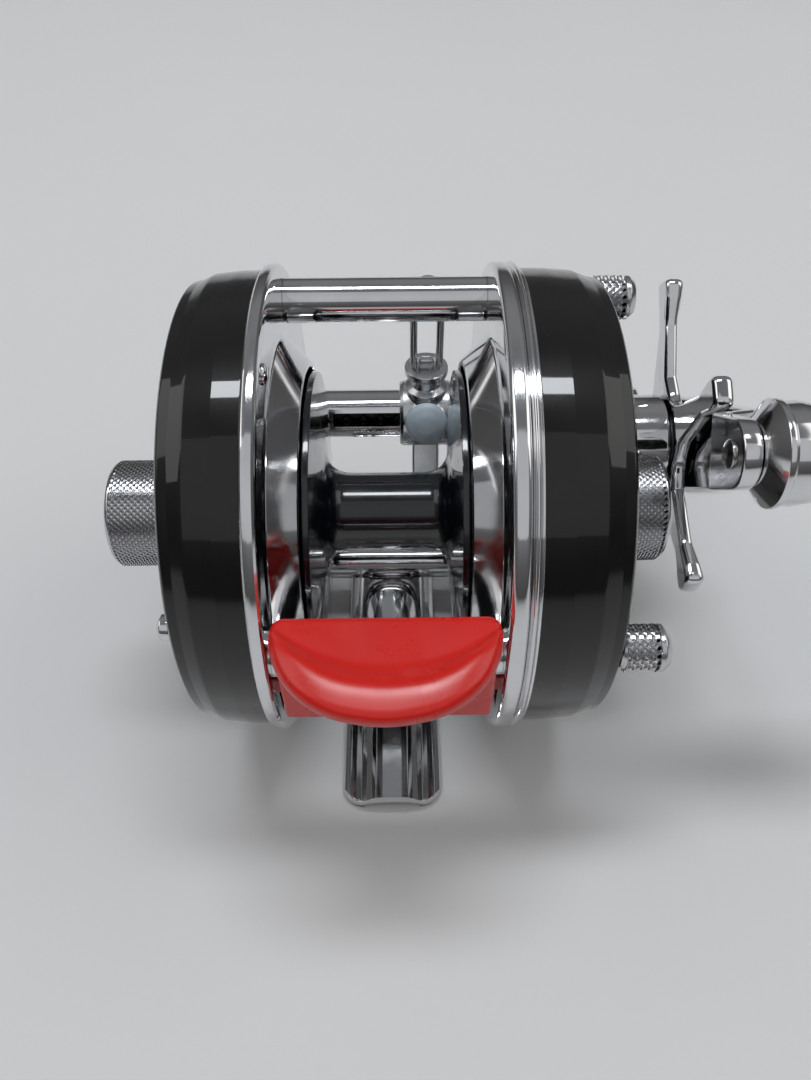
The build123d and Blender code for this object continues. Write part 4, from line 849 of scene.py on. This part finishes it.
def star_piece():
    """Five arms, narrow half way and wide at their tips, on a hub."""
    arm = [
        (8.4, -2.5, 2.2), (15.2, -1.35, 3.0), (18.2, -1.85, 1.6), (20.6, -1.85, 1.8),
        (20.6, 1.85, 1.8), (18.2, 1.85, 1.6), (15.2, 1.35, 3.0), (8.4, 2.5, 2.2),
    ]
    outline = []
    for k in range(5):
        outline += [(*turned_outline([p[:2]], (0, 0), 72 * k)[0], p[2]) for p in arm]
        outline.append((*polar((0, 0), 6.4, 72 * k + 36), 2.6))
    smooth = soften(outline, 1.0, steps=4)
    shape = Shape()
    shape.slab(turned_outline(smooth, drive_axis, star_angle), star_in, star_out, soft=0.6, steps=5)
    shape.lathe([
        (star_in - 0.15, 2.5), (star_in - 0.15, 4.0, 0.1), (star_in + 0.6, 4.0),
        (star_out + 0.02, 3.9, 0.2), (star_out + 0.02, 2.5),
    ], drive_axis, around=64)
    # the arms lean outwards a little and are thinnest half way
    middle = (star_in + star_out) / 2
    for point in shape.points:
        reach = math.hypot(point.y - drive_axis[0], point.z - drive_axis[1])
        thick = 1.0 - 0.08 * math.exp(-((reach - 12.5) / 3.2) ** 2)
        thick += 0.32 * smooth_step((reach - 16.0) / 4.0)
        lean = 0.3 * smooth_step((reach - 8.0) / 12.5) - 0.42 * smooth_step((reach - 5.0) / 4.0)
        point.x = middle + (point.x - middle) * thick + lean
    finish_piece("star_drag", "plated", shape, "star", plated, sharp=50.0)


star_piece()


def crank_piece():
    """Tapered bar with a flat middle; beyond the star both arms bend back towards the side plate."""
    low, high = span("crank")
    arm = math.hypot(near_knob[0] - drive_axis[0], near_knob[1] - drive_axis[1])
    angle = math.degrees(math.atan2(near_knob[1] - drive_axis[1], near_knob[0] - drive_axis[0]))
    wall = 1.8
    hub, end = 6.0, 3.4
    sweep = high - low - wall
    middle_x = high - wall / 2
    lean = math.asin((hub - end) / arm)
    plan = []
    for way in (0, math.pi):
        for k in range(33):
            a = (math.pi / 2 - lean) * (k / 16 - 1) + way
            plan.append((arm * math.cos(way) + end * math.cos(a), end * math.sin(a)))
        for k in range(7):
            a = math.pi / 2 + lean * (k / 3 - 1) + way
            plan.append((hub * math.cos(a), hub * math.sin(a)))
    flat = Shape()
    flat.slab(plan, middle_x - wall / 2, middle_x + wall / 2, soft=0.32, steps=4)
    mesh = bpy.data.meshes.new("crank_flat")
    mesh.from_pydata([tuple(p) for p in flat.points], [], flat.faces)
    bm = bmesh.new()
    bm.from_mesh(mesh)
    bend_start, bend_end = 20.8, 26.2
    for k in range(25):
        t = bend_start - 0.2 + (bend_end - bend_start + 0.4) * k / 24
        for side in (-1, 1):
            everything = bm.verts[:] + bm.edges[:] + bm.faces[:]
            bmesh.ops.bisect_plane(
                bm, geom=everything, plane_co=(0, side * t, 0), plane_no=(0, 1, 0), dist=1e-5,
            )
    turn = Matrix.Rotation(math.radians(angle), 4, "X")
    bent = Shape()
    bm.verts.index_update()
    for vert in bm.verts:
        reach = abs(vert.co.y)
        t = min(1.0, max(0.0, (reach - bend_start) / (bend_end - bend_start)))
        slope = math.atan(sweep * 6 * t * (1 - t) / (bend_end - bend_start))
        depth = vert.co.x - middle_x
        vert.co.x = middle_x - sweep * smooth_step(t) + depth * math.cos(slope)
        vert.co.y += math.copysign(depth * math.sin(slope), vert.co.y)
        place = turn @ vert.co
        bent.points.append(Vector((place.x, place.y + drive_axis[0], place.z + drive_axis[1])))
    bent.faces = [tuple(v.index for v in face.verts) for face in bm.faces]
    bm.free()
    bpy.data.meshes.remove(mesh)
    finish_piece("crank", "plated", bent, "handle", plated, sharp=35.0)
    return angle


crank_angle = crank_piece()

nut_low, nut_high = span("handle_nut")
nut = Shape()
hexagon = [polar((0, 0), 4.4, 60 * k) for k in range(6)]
nut.slab(turned_outline(soften(hexagon, 0.35), drive_axis, crank_angle), nut_low, nut_high, soft=0.35)
finish_piece("handle_nut", "plated", nut, "handle", plated)

keeper_low, keeper_high = span("nut_retainer")
KEEPER_REACH = 8.6
keeper = Shape()
keeper_plan = [polar((0, 0), 5.2, -125 + 250 * k / 36) for k in range(37)]
keeper_plan += [polar((-KEEPER_REACH, 0), 2.2, 90 + 180 * k / 24) for k in range(25)]
keeper.slab(turned_outline(keeper_plan, drive_axis, crank_angle), keeper_low, keeper_high, soft=0.2)
finish_piece("nut_retainer", "plated", keeper, "handle", plated)

fix_low, fix_high = span("retainer_screw")
fix_at = polar(drive_axis, -KEEPER_REACH, crank_angle)
turned_piece("retainer_screw", "plated", [
    (fix_low, 0), (fix_low, 0.8), (keeper_high, 0.8), (keeper_high, 1.5, 0.1), (fix_high - 0.25, 1.5, 0.3),
    (fix_high, 0.9, 0.3), (fix_high, 0),
], [fix_at], "handle", plated, closed=False, around=48)

shaft_low, shaft_high = span("drive_shaft")
turned_piece("drive_shaft", "turned", [
    (shaft_low, 0), (shaft_low, 1.5), (shaft_low + 1.15, 1.5), (shaft_low + 1.15, 2.4),
    (shaft_high, 2.4, 0.35), (shaft_high, 0),
], [drive_axis], "handle", steel, closed=False, around=64)


def knob_piece(name, at, body):
    """Turned knob: flange at the crank, waisted grip, rounded end."""
    start, end = span(name)
    rim = radius_of(name)
    grip_start = start + 2.3
    grip_end = end - 1.6
    waist = 4.25
    profile = [
        (start, 1.3), (start, 3.1, 0.25), (start + 1.5, rim, 0.2), (start + 2.05, rim, 0.2),
        (grip_start, rim - 0.35, 0.1),
    ]
    middle = (grip_start + grip_end) / 2 + 1.0
    for k in range(1, 13):
        x = grip_start + (grip_end - grip_start) * (k / 13)
        flare = ((x - middle) / (grip_end - middle)) ** 2
        profile.append((x, waist + (rim - 0.35 - waist) * flare, 0.0))
    profile += [(grip_end, rim - 0.3, 0.5), (end - 0.45, rim - 0.9, 0.6), (end, rim - 2.2, 0.5), (end, 0)]
    turned_piece(name, "plated", profile, [at], body, plated_lathe, closed=False, sharp=35.0)


knob_piece("knob_near", near_knob, "near_knob")
knob_piece("knob_far", far_knob, "far_knob")

pin_low, pin_high = span("knob_spindles")
turned_piece("knob_spindles", "riveted", [
    (pin_low, 0), (pin_low, 0.8, 0.3), (pin_low + 0.28, 1.4, 0.25), (pin_low + 0.5, 1.45),
    (pin_low + 0.5, 1.2), (pin_high, 1.2, 0.2), (pin_high, 0),
], [near_knob, far_knob], "handle", wire_steel, closed=False, around=48)


# ---- thumb bar
def distance_to(line, x, y):
    """Distance from a point to an open line of points."""
    best = 1e9
    here = Vector((x, y))
    for a, b in zip(line, line[1:]):
        first, second = Vector(a), Vector(b)
        way = second - first
        t = min(1.0, max(0.0, (here - first).dot(way) / way.length_squared))
        best = min(best, (first + way * t - here).length)
    return best


def arc_through(a, b, c, count):
    """Points of the circle through three points, from a to c."""
    (ax, ay), (bx, by), (cx, cy) = a, b, c
    d = 2 * (ax * (by - cy) + bx * (cy - ay) + cx * (ay - by))
    aa, bb, cc = ax * ax + ay * ay, bx * bx + by * by, cx * cx + cy * cy
    ux = (aa * (by - cy) + bb * (cy - ay) + cc * (ay - by)) / d
    uy = (aa * (cx - bx) + bb * (ax - cx) + cc * (bx - ax)) / d
    radius = math.dist((ux, uy), a)
    angles = [math.atan2(p[1] - uy, p[0] - ux) for p in (a, b, c)]
    for k in (1, 2):
        while angles[k] - angles[k - 1] > math.pi:
            angles[k] -= 2 * math.pi
        while angles[k] - angles[k - 1] < -math.pi:
            angles[k] += 2 * math.pi
    turns = [angles[0] + (angles[2] - angles[0]) * k / count for k in range(count + 1)]
    return [(ux + radius * math.cos(t), uy + radius * math.sin(t)) for t in turns]


def thumb_bar_piece():
    """Half-moon pad with a dished floor and a rounded lip, a skirt under it, two arms and their lugs."""
    low_z, top = span("thumb_bar", 2)
    wide = span("thumb_bar")
    rear = span("thumb_bar", 1)[0]
    half = 10.8
    front = rear + 11.1
    wall = 2.2
    corner = 1.3
    shoulder = front - 2.9
    # the half moon's edge from the left front corner to the right one
    flank = (half * 0.68, front - 8.8)
    tip = (half * 0.25, rear + 0.3)
    side_arc = arc_through((-half, shoulder), (-flank[0], flank[1]), (-tip[0], tip[1]), 40)
    end_arc = arc_through((-tip[0], tip[1]), (0, rear), tip, 16)
    rim = side_arc + end_arc[1:] + [(-x, y) for x, y in side_arc[::-1]][1:]
    front_line = [(-half, front - corner)]
    front_line += [
        (-half + corner - corner * math.cos(a), front - corner + corner * math.sin(a))
        for a in [math.pi / 2 * k / 12 for k in range(1, 13)]
    ]
    front_line += [(-x, y) for x, y in front_line[::-1]]
    outline = front_line + rim[::-1]
    outline.append(outline[0])

    def edge_y(line, x):
        for a, b in zip(line, line[1:]):
            if a[0] - 1e-9 <= x <= b[0] + 1e-9 and b[0] > a[0]:
                return a[1] + (b[1] - a[1]) * (x - a[0]) / (b[0] - a[0])
        return line[0][1] if x < 0 else line[-1][1]

    # the flat floor of the pad ends on an arc; outside it the pad rises to a rounded lip
    floor_radius = 15.5
    floor_at = (0.2, front - 5.4 + floor_radius)
    edge = 0.75

    def height(x, y):
        d = distance_to(outline, x, y)
        d_rim = distance_to(rim, x, y)
        out = math.dist((x, y), floor_at) - floor_radius
        whole = max(0.4, out + d_rim)
        u = min(1.0, max(0.0, out / whole)) if out > 0 else 0.0
        fade = 0.35 + 0.65 * smooth_step((front - 0.5 - y) / 5.0)
        lip = 0.95 * fade * smooth_step(u / 0.5) - 0.75 * fade * smooth_step((u - 0.45) / 0.75)
        z = top - 0.98 + lip
        if d < edge:
            z -= edge - math.sqrt(max(0.0, edge * edge - (edge - d) ** 2))
        under = top - wall
        if d < 0.4:
            under += 0.4 - math.sqrt(max(0.0, 0.16 - (0.4 - d) ** 2))
        return z, under

    shape = Shape()
    columns = 132
    rows = 46
    rings = []
    for i in range(columns + 1):
        x = -half * math.cos(math.pi * i / columns)
        y_front = edge_y(front_line, x)
        y_rear = edge_y(rim, x)
        over, below = [], []
        for j in range(rows + 1):
            t = (1 - math.cos(math.pi * j / rows)) / 2
            y = y_front + (y_rear - y_front) * t
            z, under = height(x, y)
            over.append((x, y, z))
            below.append((x, y, under))
        rings.append(over + below[::-1])
    shape.loft(rings)
    # skirt with its two arms and lugs
    skirt_out = front - 2.5 - 0.9
    skirt = (skirt_out, skirt_out + 1.5)
    inset = 0.3
    foot_z = low_z + 0.25
    shape.block((-half + inset, skirt[0], foot_z), (half - inset, skirt[1], top - wall + 0.3), 0.35)
    lug_front = front + 1.0
    lug_z = (low_z, low_z + 2.5)
    for side in (-1, 1):
        x0, x1 = sorted((side * (half - inset), side * (half - inset - 1.3)))
        shape.block((x0, skirt[1] - 0.4, lug_z[0]), (x1, lug_front - 1.2, lug_z[1]), 0.2)
        x0, x1 = sorted((side * (half - inset - 1.3), side * wide[1]))
        shape.block((x0, lug_front - 1.2, lug_z[0]), (x1, lug_front, lug_z[1]), 0.15)
    finish_piece("thumb_bar", "moulded", shape, "thumb_lever", red_plastic, sharp=60.0)


thumb_bar_piece()


# ---- foot
def foot_piece():
    """Stamped foot hollowed underneath, with a raised arch in the middle."""
    x_half = span("reel_foot")[1]
    y_low, y_high = span("reel_foot", 1)
    top = span("reel_foot", 2)[1]
    crown = 3.05
    upper = [
        (-x_half, 0.15), (-x_half, 0.55), (-x_half + 0.25, 1.0), (-5.5, 1.55), (-4.6, 1.62), (-3.9, 1.72),
        (-3.2, 2.1), (-2.6, 2.6), (-2.0, 2.92), (-1.2, crown - 0.02), (0, crown),
    ]
    upper = soften(upper, 0.8, closed=False, steps=5)
    upper += [(-x, z) for x, z in upper[-2::-1]]
    # the hollow fits a rod of this radius
    rod_radius, hollow_half = 11.5, 5.6
    lower = []
    for k in range(33):
        x = hollow_half - 2 * hollow_half * k / 32
        lower.append((x, math.sqrt(rod_radius ** 2 - x * x) - math.sqrt(rod_radius ** 2 - hollow_half ** 2)))
    section = upper + [(x_half - 0.15, 0.0)] + lower + [(-x_half + 0.15, 0.0)]

    # round the corners: distance from the end, and how far each side comes in there
    ends = quarter_round(2.9, 14)
    places = [(y_low + back, squeeze) for squeeze, back in ends]
    places += [(y_high - back, squeeze) for squeeze, back in ends[::-1]]
    shape = Shape()
    shape.loft([
        [(max(squeeze - x_half, min(x_half - squeeze, x)), y, z) for x, z in section]
        for y, squeeze in places
    ])

    # raised middle: an arch in section with rolled ends
    half_w, half_l = 4.9, 12.0
    arch = [(-half_w, 1.3)]
    for a in [math.pi * (1 - k / 32) for k in range(33)]:
        arch.append((half_w * math.cos(a), 3.6 + (top - 3.65) * math.sin(a) ** 0.75))
    arch.append((half_w, 1.3))
    loops = [(half_l - back, inset) for back, inset in quarter_round(1.5, 8)]
    loops = [(-y, inset) for y, inset in loops[::-1]] + loops
    rings = []
    for y, inset in loops:
        squeeze = 1 - inset / half_w * 0.8
        rings.append([(x * squeeze, y, z if z < 2 else z - inset * 0.9 * (z - 2) / 5) for x, z in arch])
    shape.loft(rings)
    finish_piece("reel_foot", "stamped", shape, "frame", plated, sharp=50.0)


foot_piece()

rivets = Shape()
rivet_low, rivet_high = span("foot_rivets", 2)
for side in (-1, 1):
    spot = Matrix.Translation((0, side * screw_places[2][0], 0)) @ Matrix.Rotation(-math.pi / 2, 4, "Y")
    rivets.lathe([
        (rivet_low, 0), (rivet_low, 1.3, 0.1), (rivet_low + 0.3, 1.6, 0.15), (rivet_low + 0.5, 1.6),
        (rivet_low + 0.5, 0.9), (rivet_high, 0.9), (rivet_high, 0),
    ], closed=False, around=48, to_world=spot)
finish_piece("foot_rivets", "turned", rivets, "frame", wire_steel)


# ---- click button and plate screws
button_y, button_z = polar(ring, 22.2, 167.5)
button_low, button_high = span("click_button")
button = Shape()
button.lathe([
    (button_low, 0), (button_low, 0.95, 0.3), (button_low + 0.35, 1.35, 0.2), (button_low + 1.5, 1.4, 0.1),
    (button_low + 1.55, 0),
], (button_y, button_z), closed=False, around=48)


def button_block(low, high, half_y, half_z, soft):
    button.block(
        (low, button_y - half_y, button_z - half_z), (high, button_y + half_y, button_z + half_z), soft,
    )


button_block(button_low + 1.5, button_high - 0.5, 0.7, 0.7, 0.08)
button_block(button_high - 0.6, button_high, 1.2, 1.5, 0.1)
finish_piece("click_button", "turned", button, "clicker_button", plated)

screw_low, screw_high = span("left_plate_screws")
plate_screw_places = [polar(ring, 23.9, angle) for angle in (103.0, 212.0, 318.0)]
turned_piece("left_plate_screws", "domed", [
    (screw_low, 0), (screw_low, 0.6), (screw_high - 0.55, 0.6), (screw_high - 0.55, 1.1, 0.08),
    (screw_high - 0.3, 1.02, 0.2), (screw_high - 0.04, 0.55, 0.4), (screw_high, 0),
], plate_screw_places, "frame", plated, closed=False, around=40)


# ---- floor, lights and camera
def floor_piece():
    mesh = bpy.data.meshes.new("floor")
    bm = bmesh.new()
    bmesh.ops.create_grid(bm, x_segments=1, y_segments=1, size=6.0)
    bm.to_mesh(mesh)
    bm.free()
    floor = add_object("floor", mesh)
    floor.location = (0, 0, -0.0001)
    mat = material("floor_paper", (0.72, 0.72, 0.72), roughness=0.85, specular=0.2)
    wear(mat, (0.72, 0.72, 0.72), (0.70, 0.70, 0.70), 6.0, 1.0)
    mesh.materials.append(mat)


floor_piece()

world = bpy.data.worlds.new("studio")
bpy.context.scene.world = world
world.use_nodes = True
background = world.node_tree.nodes["Background"]
background.inputs["Strength"].default_value = 1.0
where = node(world, "ShaderNodeTexCoord")
parts = node(world, "ShaderNodeSeparateXYZ")
link(world, where.outputs["Generated"], parts.inputs["Vector"])
sky = node(world, "ShaderNodeValToRGB")
stops = sky.color_ramp.elements
stops[0].position, stops[0].color = 0.0, (0.07, 0.069, 0.067, 1)
stops[1].position, stops[1].color = 1.0, (0.15, 0.155, 0.165, 1)
for position, value in ((0.25, 0.11), (0.5, 0.20), (0.75, 0.22)):
    stop = stops.new(position)
    stop.color = (value, value * 1.01, value * 1.03, 1)
link(world, parts.outputs["Z"], sky.inputs["Fac"])
# the camera itself sees a plain pale wall behind the floor
ray = node(world, "ShaderNodeLightPath")
seen = node(world, "ShaderNodeMix", data_type="RGBA")
seen.inputs[7].default_value = (0.58, 0.585, 0.59, 1)
link(world, ray.outputs["Is Camera Ray"], seen.inputs[0])
link(world, sky.outputs["Color"], seen.inputs[6])
link(world, seen.outputs[2], background.inputs["Color"])


def area_light(name, place, aim, size, power, color):
    light = bpy.data.lights.new(name, "AREA")
    light.shape = "RECTANGLE"
    light.size, light.size_y = size
    light.energy = power
    light.color = color
    lamp = add_object(name, light)
    lamp.location = place
    lamp.rotation_euler = (Vector(aim) - Vector(place)).to_track_quat("-Z", "Y").to_euler()


reel_middle = (0.0, 0.0, 0.03)
area_light("window", (0.0, 0.15, 0.98), reel_middle, (0.60, 0.14), 4.2, (0.92, 0.96, 1.0))
area_light("fill", (0.0, -0.75, 1.0), reel_middle, (1.6, 1.1), 1.9, (0.95, 0.98, 1.0))
for side in (-1, 1):
    area_light("side", (side * 0.8, 0.05, 0.78), reel_middle, (0.7, 0.7), 1.9, (1.0, 0.985, 0.965))

camera_data = bpy.data.cameras.new("camera")
camera_data.lens = 28.167
camera_data.sensor_width = 36.0
camera_data.clip_start = 0.01
camera_data.clip_end = 20.0
camera = add_object("camera", camera_data)
right = Vector((0.99992371, -0.01183135, -0.00354869))
up = Vector((0.01134426, 0.76595951, 0.64278872))
back = -Vector((0.0048869, 0.64277993, -0.7660353))
eye = Vector((0.001529, -0.069335, 0.104723))
camera.matrix_world = Matrix.Translation(eye) @ Matrix((right, up, back)).transposed().to_4x4()
bpy.context.scene.camera = camera
bpy.context.scene.view_settings.view_transform = "Standard"
